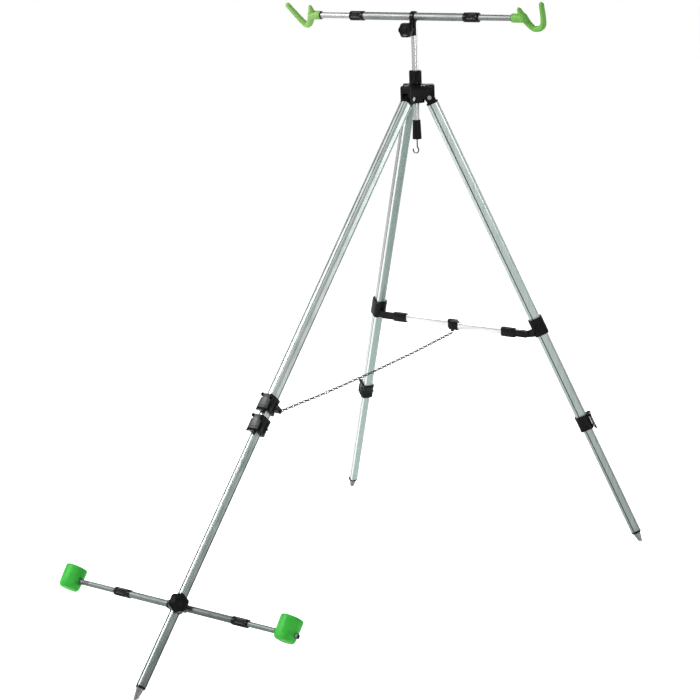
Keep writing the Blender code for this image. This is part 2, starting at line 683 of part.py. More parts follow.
def make_bracket(head):
    """A ring round the crossbar, on a saddle that grips the front of the column's top."""
    ring = rod("ring", head, BRACKET_RING, -0.005, 0.005, "X", (0, 0, BAR_HEIGHT))
    outer = COLUMN_RADIUS + 0.0034
    saddle = [(0, 0), *arc((0, 0), outer, 190, 332, 10)]
    shell = prism("saddle", head, [saddle], BRACKET_BOTTOM, BAR_HEIGHT - 0.004)
    plate = block("plate", head, (-0.005, -0.0135, BRACKET_BOTTOM), (0.005, -0.0095, BAR_HEIGHT), 0.0008, 1)
    screw_place = (0, 0, CROSS_KNOB_HEIGHT)
    boss = rod("boss", head, 0.0075, -0.020, -0.010, "Y", screw_place, segments=SMALL_ROUND)
    column_cut = rod("column_cut", head, COLUMN_RADIUS + GAP, 0.12, COLUMN_TOP + GAP)
    bar_cut = rod("bar_cut", head, BAR_RADIUS + GAP, -0.03, 0.03, "X", (0, 0, BAR_HEIGHT))
    screw_cut = rod("screw_cut", head, 0.0033, -0.03, -0.0096, "Y", screw_place, segments=SMALL_ROUND)
    node("crossbar_bracket", ring, BLACK_PLASTIC, [plate, shell, boss], [column_cut, bar_cut, screw_cut])


def make_knob(name, place, radius, thickness, stem, shank):
    """A lobed hand knob, its face towards +Z of its frame and its screw behind it."""
    head = prism("knob", place, [lobed(radius, KNOB_LOBES)], 0.0, thickness)
    neck = rod("neck", place, 0.0075, -stem, 0.001, segments=SMALL_ROUND)
    screw = rod("screw", place, BOLT_RADIUS, -shank, 0.001, segments=SMALL_ROUND)
    node(name, head, BLACK_PLASTIC, [neck, screw])


def tube_x(name, parent, side, radius, wall, start, end):
    along = turned_by(side * math.pi / 2, "Y")
    return prism(name, parent, [circle(radius), circle(radius - wall)], start, end, along)


def make_twist_lock(name, parent, side, radius, span, outer, inner):
    """A collar whose wide bore takes the outer tube and whose narrow bore takes the inner one."""
    start, end = span
    step = start + (end - start) * 0.5
    chamfer = 0.002
    wide, narrow = outer + GAP, inner + GAP
    profile = [(wide, start), (radius - chamfer, start), (radius, start + chamfer), (radius, end - chamfer),
               (radius - chamfer, end), (narrow, end), (narrow, step), (wide, step), (wide, start)]
    place = frame(f"{name}_frame", turned_by(side * math.pi / 2, "Y"), parent)
    lock = lathe(name, place, profile[::-1])
    node(name, lock, BLACK_PLASTIC)


def make_rod_rest(side, bar):
    """Socket on the arm, a short spur and a long hook, in a plane tipped back about the bar."""
    plane = frame(f"rest_{SIDES[side]}_frame", turned_by(REST_TILT, "X"), bar)
    inner, outer = REST_SOCKET
    low, high = sorted((side * inner, side * outer))
    socket = rod("socket", plane, REST_SOCKET_RADIUS, low, high, "X")
    route = [(side * (outer + x), 0.0, z) for x, z in smooth_route(REST_ROUTE[side])]
    hook = wire("hook", plane, route, REST_WIRE[side])
    (x0, z0), (x1, z1) = REST_SPUR
    lean = math.atan2(side * (x1 - x0), z1 - z0)
    spur_place = moved(side * (outer + x0), 0.0, z0) @ turned_by(lean, "Y")
    spur_frame = frame(f"spur_{SIDES[side]}_frame", spur_place, plane)
    length = math.hypot(x1 - x0, z1 - z0)
    base_radius, tip_radius = REST_SPUR_RADII
    spur = rod("spur", spur_frame, base_radius, 0.0, length, end_radius=tip_radius, segments=SMALL_ROUND)
    low, high = sorted((side * (inner - 0.01), side * (inner + REST_BORE_DEPTH)))
    bore = rod("bore", plane, ARM_RADIUS + GAP, low, high, "X")
    node(f"rod_rest_{SIDES[side]}", socket, GREEN_RUBBER, [hook, spur], [bore])


def make_crossbar(head):
    bar = frame("crossbar_frame", moved(z=BAR_HEIGHT), head)
    tube = prism("tube", bar, [circle(BAR_RADIUS), circle(BAR_RADIUS - BAR_WALL)], -BAR_HALF, BAR_HALF,
                 turned_by(math.pi / 2, "Y"))
    node("crossbar_tube", tube, BRUSHED_ALUMINIUM)
    make_bracket(head)
    face_out = moved(0.0, -CROSS_KNOB_NEAR, CROSS_KNOB_HEIGHT) @ turned_by(math.pi / 2, "X")
    knob_frame = frame("crossbar_knob_frame", face_out, head)
    make_knob("crossbar_knob", knob_frame, CROSS_KNOB_RADIUS, CROSS_KNOB_THICKNESS, 0.0096, 0.0195)
    for side, word in SIDES.items():
        make_twist_lock(f"crossbar_lock_{word}", bar, side, BAR_LOCK_RADIUS, BAR_LOCK, BAR_RADIUS, ARM_RADIUS)
        arm = tube_x("arm", bar, side, ARM_RADIUS, 0.0012, *ARM_SPAN)
        node(f"rest_arm_{word}", arm, BRUSHED_ALUMINIUM)
        make_rod_rest(side, bar)


# ---------------------------------------------------------------- cup bar


def make_cup(side, clamp):
    """A butt cup: a thick base that the arm passes through, and an open recess above it."""
    lean = REAR_TILT - ROD_PITCH
    place = moved(x=side * CUP_CENTRE[side]) @ turned_by(lean, "X")
    cup_frame = frame(f"cup_{SIDES[side]}_frame", place, clamp)
    inside = CUP_RADIUS - CUP_WALL
    floor, base = CUP_FLOOR[side], CUP_BASE[side]
    top = base + CUP_HEIGHT
    cup = lathe("cup", cup_frame, [
        (0.0, floor), (inside - 0.002, floor), (inside, top), (CUP_RADIUS - 0.001, top),
        (CUP_RADIUS, top - 0.001), (CUP_RADIUS - 0.0008, base + 0.004), (CUP_RADIUS - 0.005, base),
        (0.0, base),
    ])
    through = 0.04
    low, high = sorted((side * -through, side * (through if side > 0 else CUP_RADIUS - 0.004)))
    bore = rod("cup_bore", cup_frame, CUP_ARM_RADIUS + GAP, low, high, "X")
    node(f"butt_cup_{SIDES[side]}", cup, GREEN_RUBBER, cut=[bore])


def make_cup_bar(rear_leg):
    clamp = frame("cup_bar_clamp_frame", moved(z=-CUP_CLAMP), rear_leg)
    hub = ball("hub", clamp, HUB_RADIUS)
    outwards = turned_by(CUP_KNOB_TURN, "Z") @ turned_by(math.pi / 2, "X")
    facing = frame("cup_knob_axis", outwards, clamp)
    boss = rod("boss", facing, 0.010, 0.010, CUP_KNOB_NEAR - 0.0055, segments=SMALL_ROUND)
    sleeves, cuts = [], []
    for side in SIDES:
        low, high = sorted((side * 0.012, side * 0.026))
        sleeves.append(rod("sleeve", clamp, 0.0105, low, high, "X"))
        low, high = sorted((side * (CUP_TUBE_START - GAP), side * 0.05))
        cuts.append(rod("sleeve_bore", clamp, CUP_TUBE_RADIUS + GAP, low, high, "X"))
    cuts.append(section_solid("leg_bore", clamp, LOWER_SECTION, -0.05, 0.05, GAP))
    cuts.append(rod("screw_bore", facing, 0.0033, 0.0135, 0.05, segments=SMALL_ROUND))
    node("cup_bar_clamp", hub, BLACK_PLASTIC, [boss, *sleeves], cuts)
    knob_frame = frame("cup_bar_knob_frame", moved(z=CUP_KNOB_NEAR), facing)
    make_knob("cup_bar_knob", knob_frame, CUP_KNOB_RADIUS, CUP_KNOB_THICKNESS, 0.0050, 0.0145)
    for side, word in SIDES.items():
        span = CUP_LOCK_SPAN[side]
        middle = sum(span) / 2
        tube = tube_x("tube", clamp, side, CUP_TUBE_RADIUS, CUP_TUBE_WALL, CUP_TUBE_START, middle - GAP)
        node(f"cup_bar_tube_{word}", tube, BRUSHED_ALUMINIUM)
        lock = f"cup_bar_lock_{word}"
        make_twist_lock(lock, clamp, side, CUP_LOCK_RADIUS, span, CUP_TUBE_RADIUS, CUP_ARM_RADIUS)
        arm = tube_x("arm", clamp, side, CUP_ARM_RADIUS, 0.0012, *CUP_ARM_SPAN[side])
        node(f"cup_arm_{word}", arm, BRUSHED_ALUMINIUM)
        make_cup(side, clamp)


# ---------------------------------------------------------------- the whole tripod


def leg_frame(name, turn, tilt, head):
    """At the leg's pivot: X is its hinge, -Z runs down the leg and -Y is its outer side."""
    pivot = turned_by(turn, "Z") @ moved(y=-PIVOT_RADIUS)
    return frame(f"{name}_leg_frame", pivot @ turned_by(-tilt, "X"), head)


clear_scene()
PARTS = new_collection(COLLECTION)
HELPERS = new_collection("cutters")
BLACK_PLASTIC = principled("black_plastic", BLACK, 0.35, 0.0)
BRUSHED_ALUMINIUM = principled("brushed_aluminium", ALUMINIUM, 0.35, 1.0)
BRIGHT_STEEL = principled("bright_steel", STEEL, 0.25, 1.0)
GREEN_RUBBER = principled("green_rubber", GREEN, 0.45, 0.0)
LEG_TURNS = {"rear": 0.0, "left": -FRONT_TURN, "right": FRONT_TURN}

head_frame = frame("head_frame", moved(y=HEAD_Y, z=PIVOT_HEIGHT))
make_yoke(head_frame)
make_column(head_frame)
make_hook(head_frame)
for leg_name, leg_turn in LEG_TURNS.items():
    make_pivot_bolt(leg_name, head_frame, leg_turn)

ground_cutter = block("ground", None, (-1.0, -1.5, -0.1), (1.0, 1.5, 0.0))
rear_frame = leg_frame("rear", 0.0, REAR_TILT, head_frame)
chain_start = make_rear_leg(rear_frame, ground_cutter)
for side_sign, side_name in SIDES.items():
    front_frame = leg_frame(side_name, side_sign * FRONT_TURN, FRONT_TILT, head_frame)
    facing_in = turned_by(0.0 if side_sign < 0 else math.pi, "Z")
    spreader_frame = frame(f"spreader_{side_name}_frame", moved(*spreader_pivot(front_frame)) @ facing_in)
    make_front_leg(side_name, front_frame, spreader_frame, ground_cutter)
    make_spreader_half(side_name, spreader_frame)
chain_end = spreader_pivot(front_frame) + Vector(
    (-HALF_LENGTH, -(HALF_NEAR + HALF_FAR) / 2, -CHAIN_EYE_DROP - CHAIN_RADIUS - 0.0005)
)
make_chain(chain_start, chain_end)
make_crossbar(head_frame)
make_cup_bar(rear_frame)
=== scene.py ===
"""The looks of a surfcasting rod tripod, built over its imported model. Metres, +Z up."""

import json
import math

import bmesh
import bpy
from mathutils import Matrix, Vector


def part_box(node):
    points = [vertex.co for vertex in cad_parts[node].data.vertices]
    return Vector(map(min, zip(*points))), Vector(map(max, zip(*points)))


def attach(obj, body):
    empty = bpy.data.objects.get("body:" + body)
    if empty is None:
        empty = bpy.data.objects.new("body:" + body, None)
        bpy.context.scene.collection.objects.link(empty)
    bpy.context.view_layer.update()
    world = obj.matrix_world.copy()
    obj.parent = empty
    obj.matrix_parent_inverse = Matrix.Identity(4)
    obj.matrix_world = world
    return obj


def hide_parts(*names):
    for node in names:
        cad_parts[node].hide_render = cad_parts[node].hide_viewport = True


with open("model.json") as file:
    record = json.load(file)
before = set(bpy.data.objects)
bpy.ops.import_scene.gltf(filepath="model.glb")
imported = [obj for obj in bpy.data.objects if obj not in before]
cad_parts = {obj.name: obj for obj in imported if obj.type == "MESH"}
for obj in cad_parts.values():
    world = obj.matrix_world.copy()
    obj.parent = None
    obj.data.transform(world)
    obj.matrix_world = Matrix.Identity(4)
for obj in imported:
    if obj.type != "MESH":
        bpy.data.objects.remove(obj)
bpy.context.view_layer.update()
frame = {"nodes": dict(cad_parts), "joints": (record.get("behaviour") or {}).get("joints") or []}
NODES = frame["nodes"]
JOINTS = {joint["name"]: joint for joint in frame["joints"]}
SIDES = {-1: "left", 1: "right"}

# Camera
CAMERA_PLACE = (2.789, -3.651, 1.783)
CAMERA_YAW = math.radians(36.57)
CAMERA_PITCH = math.radians(13.96)
CAMERA_ROLL = math.radians(-2.17)
CAMERA_LENS = 98.15

# Tubes and twist collars
END_LIP = 0.0005  # how far the edge of a tube's end is broken
TUBE_WALL = 0.0015
TUBE_CORNER = 0.27  # of the width
GROOVE_WIDTH = 0.0024
GROOVE_DEPTH = 0.0009
GROOVE_OFFSET = 0.20  # of the depth, from the middle of a side face towards the inner face
ROUND_WALL = 0.0013
THREAD_PITCH = 0.0055
THREAD_DEPTH = 0.0013
COLLAR_RIM = 0.0016
RIB_DEPTH = 0.0016

# Knobs
KNOB_LOBES = 6
KNOB_DIP = 0.11  # of the radius, between two lobes
KNOB_RIM = 0.0022
KNOB_HUB = 0.0074  # radius of the hub behind the knob
KNOB_SCREW = 0.0028  # radius of its screw
CROSS_KNOB_NEAR = 0.030  # from the joint's place to the back of the knob
CUP_KNOB_NEAR = 0.0285  # from the cup bar's centre to the back of the knob

# Leg locks
LOCK_LENGTH = 0.042
LOCK_SECTION = (0.034, 0.037, 0.0095)  # width, depth, corner
LOCK_BORE = (0.0222, 0.0262, 0.0072)
LOCK_WIDE_BORE = (0.0258, 0.0298, 0.0082)
LOCK_EDGE = 0.0013  # how far the outer edges are broken
LOCK_RIM = 0.0055  # how far from each end the full section reaches
LOCK_WAIST = 0.0005  # how far the section between them is set in
LOCK_LIP = 0.011  # the narrow part of the bore
LOCK_BELOW_HINGE = 0.016  # from the lever's hinge down to the middle of its lock
LEVER_WIDTH = 0.0215  # at the hinge, between the ears
LEVER_STEPS = 12  # across the lever
EAR_THICKNESS = 0.0044
EAR_RADIUS = 0.0046

# Down the lever from its hinge: (height, half width, outer face, inner face)
LEVER_PLATE = (
    (0.0034, 0.0100, -0.0012, 0.0012),
    (0.0026, 0.0105, -0.0026, 0.0024),
    (0.0, 0.0107, -0.0035, 0.0032),
    (-0.0080, 0.0107, -0.0035, 0.0030),
    (-0.0104, 0.0150, -0.0032, 0.0028),
    (-0.0285, 0.0154, -0.0030, 0.0028),
    (-0.0297, 0.0154, -0.0016, 0.0028),
    (-0.0307, 0.0154, -0.0016, 0.0028),
    (-0.0317, 0.0154, -0.0035, 0.0028),
    (-0.0342, 0.0154, -0.0035, 0.0028),
    (-0.0350, 0.0152, -0.0020, 0.0026),
)
LEVER_LIP = (
    (-0.0348, 0.0151, -0.0019, 0.0026),
    (-0.0366, 0.0150, -0.0020, 0.0022),
    (-0.0385, 0.0148, -0.0034, 0.0018),
    (-0.0422, 0.0140, -0.0037, -0.0002),
    (-0.0438, 0.0128, -0.0034, -0.0014),
)

# Spikes
SPIKE_RING = 0.0042
SPIKE_INSET = 0.0006  # the ring's radius is this much under half the widest part of its solid
SPIKE_PLUG = 0.0062  # the plug's radius is this much under the ring's
SPIKE_TIP = 0.0036

# Chain
LINK_WIRE = 0.0012
LINK_LENGTH = 0.0138
LINK_WIDTH = 0.0080
LINK_NEST = 2.6  # neighbouring links overlap by this many wire radii
CHAIN_FOLD_GAP = 0.0073  # the stretches on both sides of the second joint stop this far from it
LUG_OVERLAP = 0.0035  # the first link starts this far before its stretch's own solid

# Rod rests: (outward, up, radius) along the bar, from the spur's tip to the hook's tip
REST_TILT = math.radians(30)
REST_REACH = 0.334
REST_SOCKET_LENGTH = 0.0385
REST_SPUR = (
    (-0.0120, 0.0260, 0.0056),
    (-0.0105, 0.014, 0.0078),
    (-0.006, 0.002, 0.0098),
)
REST_HOOKS = {
    -1: (
        (0.005, -0.018, 0.0092),
        (0.019, -0.0310, 0.0085),
        (0.032, -0.022, 0.0083),
        (0.0605, 0.0310, 0.0074),
    ),
    1: (
        (0.003, -0.018, 0.0083),
        (0.0175, -0.0315, 0.0077),
        (0.043, -0.019, 0.0076),
        (0.0560, 0.0410, 0.0066),
    ),
}
ROUTE_STEPS = 6  # between two given points
# A swept bar's rounded ends: (share of its radius, radii ahead of the end point)
START_CAP = ((0.35, -0.85), (0.80, -0.45))
END_CAP = ((0.80, 0.45), (0.35, 0.85))

# Butt cups
CUP_FLOOR = {-1: 0.0085, 1: 0.011}  # above the middle of the arm
CUP_LEAN = math.atan2(0.645, 0.764)
CUP_THREAD = {-1: ((0.275, 0.3085),), 1: ()}  # stretches of the arm that show a thread

# Scales of the streaks' pattern: small on each axis that they run along
EVEN = (1.0, 1.0, 1.0)
STREAKS = {"rear": (1.0, 0.05, 0.05), "left": (1.0, 1.0, 0.03), "right": (1.0, 1.0, 0.03)}
BAR_STREAKS = (0.03, 1.0, 1.0)
CUP_BAR_STREAKS = (0.2, 1.0, 1.0)
COLUMN_STREAKS = (1.0, 1.0, 0.03)
# Each leg's (darker, lighter) colour; the legs are one aluminium, made lighter or darker each as painted
# light and shade
LEG_LIT_AND_SHADED_COLOURS = {
    "rear": ((0.46, 0.53, 0.51), (0.66, 0.71, 0.70)),
    "left": ((0.70, 0.74, 0.72), (0.84, 0.87, 0.86)),
    "right": ((0.36, 0.43, 0.41), (0.52, 0.58, 0.56)),
}
SCUFF_COLOUR = (0.09, 0.09, 0.095, 1.0)
# Painted light and shade: how far each colour is made lighter or darker with the height above the ground, as
# two (height, share) pairs
LEG_PAINTED_LIGHT = {
    "rear": ((0.5, 0.95), (1.2, 1.35)),
    "left": ((0.2, 1.1), (0.7, 1.0)),
    "right": ((0.0, 0.66), (1.15, 1.5)),
}
# Painted shade makes the rear lower tube darker towards the ground, and painted light makes the inner faces
# lighter lower down
LOWER_PAINTED_LIGHT = ((0.0, 0.42), (0.5, 1.35))
INNER_PAINTED_LIGHT = ((0.2, 1.28), (0.9, 1.0))

# Studio: each light's name, place, target, size and power
MIDDLE = (0.0, 0.1, 0.8)
LIGHTS = (
    ("key", (-2.6, -2.6, 3.4), MIDDLE, 1.3, 190),
    ("fill", (3.6, -1.6, 1.8), MIDDLE, 1.6, 30),
    ("back", (-1.0, 3.4, 2.6), MIDDLE, 1.6, 60),
    ("horizon", (2.4, 3.8, 1.3), (0.0, 0.2, 1.0), 2.4, 22),
)
SKY_LEAN = (-0.1, -0.6, 0.8)
SKY_DIM = 0.06
SKY_BRIGHT = 0.72
FLOOR_GLOW = 0.62
FLOOR_HALF = 14.0
FLOOR_DROP = 0.0005

SMOOTH_ANGLE = math.radians(40)
TUBE_SMOOTH_ANGLE = math.radians(25)
BEVEL_ANGLE = math.radians(38)
SEAM_ANGLE = math.radians(2)
SEAM_DISTANCE = 1e-5


# ---------------------------------------------------------------- materials


def new_material(name):
    material = bpy.data.materials.new(name)
    material.use_nodes = True
    nodes, links = material.node_tree.nodes, material.node_tree.links
    return material, nodes, links, nodes["Principled BSDF"]


def texture_place(nodes, links, scale=EVEN):
    coordinates = nodes.new("ShaderNodeTexCoord")
    mapping = nodes.new("ShaderNodeMapping")
    mapping.inputs["Scale"].default_value = scale
    links.new(coordinates.outputs["Object"], mapping.inputs["Vector"])
    return mapping.outputs["Vector"]


def noise(nodes, links, place, scale, detail=4.0, roughness=0.55):
    texture = nodes.new("ShaderNodeTexNoise")
    texture.inputs["Scale"].default_value = scale
    texture.inputs["Detail"].default_value = detail
    texture.inputs["Roughness"].default_value = roughness
    links.new(place, texture.inputs["Vector"])
    return texture.outputs["Fac"]


def ramp(nodes, links, value, low, high):
    """A value of 0.3 to 0.7 becomes a colour between low and high."""
    colours = nodes.new("ShaderNodeValToRGB")
    colours.color_ramp.elements[0].position = 0.3
    colours.color_ramp.elements[1].position = 0.7
    colours.color_ramp.elements[0].color = (*low, 1.0)
    colours.color_ramp.elements[1].color = (*high, 1.0)
    links.new(value, colours.inputs["Fac"])
    return colours.outputs["Color"]


def between(nodes, links, value, low, high, start=0.0, end=1.0):
    """A value of start to end becomes one between low and high."""
    remap = nodes.new("ShaderNodeMapRange")
    remap.inputs["From Min"].default_value = start
    remap.inputs["From Max"].default_value = end
    remap.inputs["To Min"].default_value = low
    remap.inputs["To Max"].default_value = high
    links.new(value, remap.inputs["Value"])
    return remap.outputs["Result"]


def add_bump(nodes, links, shader, height, strength, distance):
    bump = nodes.new("ShaderNodeBump")
    bump.inputs["Strength"].default_value = strength
    bump.inputs["Distance"].default_value = distance
    links.new(height, bump.inputs["Height"])
    links.new(bump.outputs["Normal"], shader.inputs["Normal"])


def with_painted_light(nodes, links, colour, painted_light):
    """The colour, scaled by a share that changes with the height above the ground, as painted light and
    shade.
    """
    (low, low_share), (high, high_share) = painted_light
    place = nodes.new("ShaderNodeSeparateXYZ")
    links.new(texture_place(nodes, links), place.inputs["Vector"])
    scaled = nodes.new("ShaderNodeVectorMath")
    scaled.operation = "SCALE"
    links.new(colour, scaled.inputs["Vector"])
    share = between(nodes, links, place.outputs["Z"], low_share, high_share, low, high)
    links.new(share, scaled.inputs["Scale"])
    return scaled.outputs["Vector"]


def drawn_metal(
    name, low, high, roughness, along=EVEN, metallic=1.0, streaks=420.0, bump=0.12, painted_light=None
):
    """Metal with fine streaks. The along scale is small on the axis that the streaks follow."""
    material, nodes, links, shader = new_material(name)
    fine = noise(nodes, links, texture_place(nodes, links, along), streaks, 3.0)
    patches = noise(nodes, links, texture_place(nodes, links), 14.0, 3.0)
    colour = ramp(nodes, links, fine, low, high)
    # Painted light and shade: the colour grows lighter or darker with height
    if painted_light:
        colour = with_painted_light(nodes, links, colour, painted_light)
    dull = between(nodes, links, patches, roughness - 0.07, roughness + 0.10)
    links.new(colour, shader.inputs["Base Color"])
    links.new(dull, shader.inputs["Roughness"])
    shader.inputs["Metallic"].default_value = metallic
    add_bump(nodes, links, shader, fine, bump, 0.0002)
    return material


def scuffed(nodes, links, place, colour, share):
    """The colour with paler patches where the piece has been handled."""
    handled = noise(nodes, links, place, 150.0, 6.0, 0.7)
    mix = nodes.new("ShaderNodeMix")
    mix.data_type = "RGBA"
    links.new(between(nodes, links, handled, 0.0, share, 0.56, 0.74), mix.inputs["Factor"])
    links.new(colour, mix.inputs["A"])
    mix.inputs["B"].default_value = SCUFF_COLOUR
    return mix.outputs["Result"]


def moulded_plastic(name, low, high, roughness, grain=1800.0, bump=0.10, scuffs=0.0):
    """Plastic with a fine moulded grain and, with scuffs, worn patches."""
    material, nodes, links, shader = new_material(name)
    place = texture_place(nodes, links)
    cloudy = noise(nodes, links, place, 60.0, 3.0)
    grains = noise(nodes, links, place, grain, 2.0)
    colour = ramp(nodes, links, cloudy, low, high)
    if scuffs:
        colour = scuffed(nodes, links, place, colour, scuffs)
    dull = between(nodes, links, cloudy, roughness - 0.06, roughness + 0.08)
    links.new(colour, shader.inputs["Base Color"])
    links.new(dull, shader.inputs["Roughness"])
    shader.inputs["Specular IOR Level"].default_value = 0.16
    add_bump(nodes, links, shader, grains, bump, 0.00015)
    return material


def soft_green(name, low, high, roughness):
    material = moulded_plastic(name, low, high, roughness, 900.0, 0.14)
    shader = material.node_tree.nodes["Principled BSDF"]
    shader.inputs["Subsurface Weight"].default_value = 0.12
    shader.inputs["Subsurface Radius"].default_value = (0.002, 0.006, 0.002)
    shader.inputs["Subsurface Scale"].default_value = 1.0
    return material


# ---------------------------------------------------------------- frames of reference


def basis(x, y, z, place):
    matrix = Matrix((x, y, z)).transposed().to_4x4()
    matrix.translation = place
    return matrix


def joint_place(name):
    return Vector(JOINTS[name]["pos_m"])


def leg_matrix(name):
    """At a leg's pivot: X is its hinge, -Z runs down the leg and -Y is its outer side."""
    x = Vector(JOINTS[f"{name}_leg_fold"]["axis"])
    z = -Vector(JOINTS[f"{name}_lower_slide"]["axis"])
    return basis(x, z.cross(x), z, joint_place(f"{name}_leg_fold"))


def axis_matrix(axis, place, about=(0.0, 0.0, 1.0)):
    """Z runs along the axis."""
    z = Vector(axis).normalized()
    x = Vector(about).cross(z)
    if x.length < 1e-6:
        x = Vector((1.0, 0.0, 0.0))
    x.normalize()
    return basis(x, z.cross(x), z, Vector(place))


def moved(x, y, z):
    return Matrix.Translation((x, y, z))


def turned_by(angle, axis):
    return Matrix.Rotation(angle, 4, axis)


def local_box(node, matrix):
    """The node's lowest and highest corner, seen in a frame."""
    back = matrix.inverted()
    points = [back @ vertex.co for vertex in NODES[node].data.vertices]
    low = Vector([min(point[i] for point in points) for i in range(3)])
    high = Vector([max(point[i] for point in points) for i in range(3)])
    return low, high


# ---------------------------------------------------------------- outlines and lofts


def arc(centre, radius, start, end, steps):
    points = []
    for i in range(steps + 1):
        angle = math.radians(start + (end - start) * i / steps)
        points.append((centre[0] + radius * math.cos(angle), centre[1] + radius * math.sin(angle)))
    return points


def rounded_rectangle(width, depth, corner, steps=6):
    points = []
    for quarter, (sx, sy) in enumerate(((1, 1), (-1, 1), (-1, -1), (1, -1))):
        centre = (sx * (width / 2 - corner), sy * (depth / 2 - corner))
        points += arc(centre, corner, 90 * quarter, 90 * quarter + 90, steps)
    return points


def shrunk_rectangle(section, amount):
    """A rounded rectangle moved in by an amount all round."""
    width, depth, corner = section
    return rounded_rectangle(width - 2 * amount, depth - 2 * amount, corner - amount)


def grooved_section(width, depth, corner):
    """The leg extrusion, a rounded rectangle with one groove down each side face and two down its outer face.
    Returns the outline and the material of its stretches: 1 in the grooves, which are painted dark as shade,
    and 2 on the inner face, which is painted as shade."""
    half, deep = width / 2, depth / 2
    edge = half - corner - GROOVE_WIDTH / 2
    sides = (
        ((half, 0.0), (0.0, 1.0), (GROOVE_OFFSET * depth,), (half - corner, deep - corner), 0),
        ((0.0, deep), (-1.0, 0.0), (), (corner - half, deep - corner), 90),
        ((-half, 0.0), (0.0, -1.0), (-GROOVE_OFFSET * depth,), (corner - half, corner - deep), 180),
        ((0.0, -deep), (1.0, 0.0), (-edge, edge), (half - corner, corner - deep), 270),
    )
    points, marked = [], {}
    for middle, along, places, centre, start in sides:
        inward = (-along[1], along[0])
        for place in places:
            marked.update({len(points) + step: 1 for step in range(3)})
            for shift, dip in ((-0.5, 0.0), (-0.3, GROOVE_DEPTH), (0.3, GROOVE_DEPTH), (0.5, 0.0)):
                reach = place + shift * GROOVE_WIDTH
                x = middle[0] + along[0] * reach + inward[0] * dip
                y = middle[1] + along[1] * reach + inward[1] * dip
                points.append((x, y))
        if not places:
            marked.update({len(points) + step: 2 for step in range(-3, 2)})
        points += arc(centre, corner, start, start + 90, 5)
    return points, marked


def without_grooves(outline, width, depth):
    """The outline with its grooves filled: points just inside a face are moved out to it."""
    level = 2 * GROOVE_DEPTH
    filled = []
    for x, y in outline:
        in_side = width / 2 - level < abs(x) < width / 2 and abs(y) < 0.3 * depth
        in_outer = depth / 2 - level < -y < depth / 2 and abs(x) < 0.3 * width
        flush_x = math.copysign(width / 2, x) if in_side else x
        flush_y = -depth / 2 if in_outer else y
        filled.append((flush_x, flush_y))
    return filled


def waved_circle(radius, waves, depth, per_wave=6):
    """A circle whose radius dips by depth between its waves."""
    steps = waves * per_wave
    points = []
    for i in range(steps):
        angle = 2 * math.pi * i / steps
        reach = radius - depth * (0.5 - 0.5 * math.cos(waves * angle))
        points.append((reach * math.cos(angle), reach * math.sin(angle)))
    return points


def circle(radius, steps=40):
    return waved_circle(radius, 1, 0.0, steps)


def grown(outline, amount):
    """Each point moved out by an amount, straight away from the middle."""
    found = []
    for x, y in outline:
        length = math.hypot(x, y)
        found.append((x * (1 + amount / length), y * (1 + amount / length)))
    return found


def loft(shape, rings, matrix=None, loop=False, marked=None):
    """Quads between rings of points. With loop, the last ring joins the first, or else both ends are capped.
    Marked gives the material of stretches of the ring that don't take the first one."""
    matrix = matrix or Matrix()
    marked = marked or {}
    made = [[shape.verts.new(matrix @ Vector(point)) for point in ring] for ring in rings]
    pairs = list(zip(made, made[1:] + made[:1])) if loop else list(zip(made, made[1:]))
    for ring, following in pairs:
        count = len(ring)
        for i in range(count):
            j = (i + 1) % count
            face = shape.faces.new((ring[i], ring[j], following[j], following[i]))
            face.material_index = marked.get(i, 0)
    if not loop:
        shape.faces.new(made[0][::-1])
        shape.faces.new(made[-1])


def stacked(shape, levels, matrix=None, loop=False, marked=None):
    """A loft of flat outlines: (outline, height) pairs."""
    rings = [[(x, y, z) for x, y in outline] for outline, z in levels]
    loft(shape, rings, matrix, loop, marked)


def turned(shape, profile, matrix=None, steps=40, loop=False):
    """A turned shape from (radius, height) pairs."""
    levels = [(circle(max(radius, 1e-5), steps), z) for radius, z in profile]
    stacked(shape, levels, matrix, loop)


def bar(shape, low, high, rounding, matrix):
    """A box with all its edges rounded."""
    low, high = Vector(low), Vector(high)
    size = high - low
    middle = (low + high) / 2
    outline = rounded_rectangle(size.x, size.y, rounding * 1.5, 3)
    small = rounded_rectangle(size.x - 2 * rounding, size.y - 2 * rounding, rounding, 3)
    levels = [(small, low.z), (outline, low.z + rounding), (outline, high.z - rounding), (small, high.z)]
    stacked(shape, levels, matrix @ moved(middle.x, middle.y, 0.0))


def ring_about(centre, across, normal, radius, steps, squash=1.0):
    points = []
    for k in range(steps):
        angle = 2 * math.pi * k / steps
        points.append(centre + radius * (across * math.cos(angle) + normal * squash * math.sin(angle)))
    return points


def swept(shape, route, radii, matrix, steps=14, squash=1.0):
    """An oval bar along a route in the XZ plane, with rounded ends."""
    route = [Vector(point) for point in route]
    normal = Vector((0.0, 1.0, 0.0))
    rings = []
    last = len(route) - 1
    for i, point in enumerate(route):
        along = (route[min(i + 1, last)] - route[max(i - 1, 0)]).normalized()
        across = normal.cross(along).normalized()
        sizes = [(1.0, 0.0)]
        if i == 0:
            sizes = [*START_CAP, *sizes]
        if i == last:
            sizes = [*sizes, *END_CAP]
        for share, ahead in sizes:
            centre = point + along * radii[i] * ahead
            rings.append(ring_about(centre, across, normal, share * radii[i], steps, squash))
    loft(shape, rings, matrix)


def smooth_route(points):
    """A curve through the points, with the same number of steps between each two of them."""
    padded = [points[0], *points, points[-1]]
    found = []
    for i in range(len(points) - 1):
        a, b, c, d = (Vector(point) for point in padded[i : i + 4])
        for step in range(ROUTE_STEPS):
            t = step / ROUTE_STEPS
            bent = 2 * b + (c - a) * t + (2 * a - 5 * b + 4 * c - d) * t**2
            found.append(0.5 * (bent + (3 * b - a - 3 * c + d) * t**3))
    return [*found, Vector(points[-1])]


# ---------------------------------------------------------------- pieces


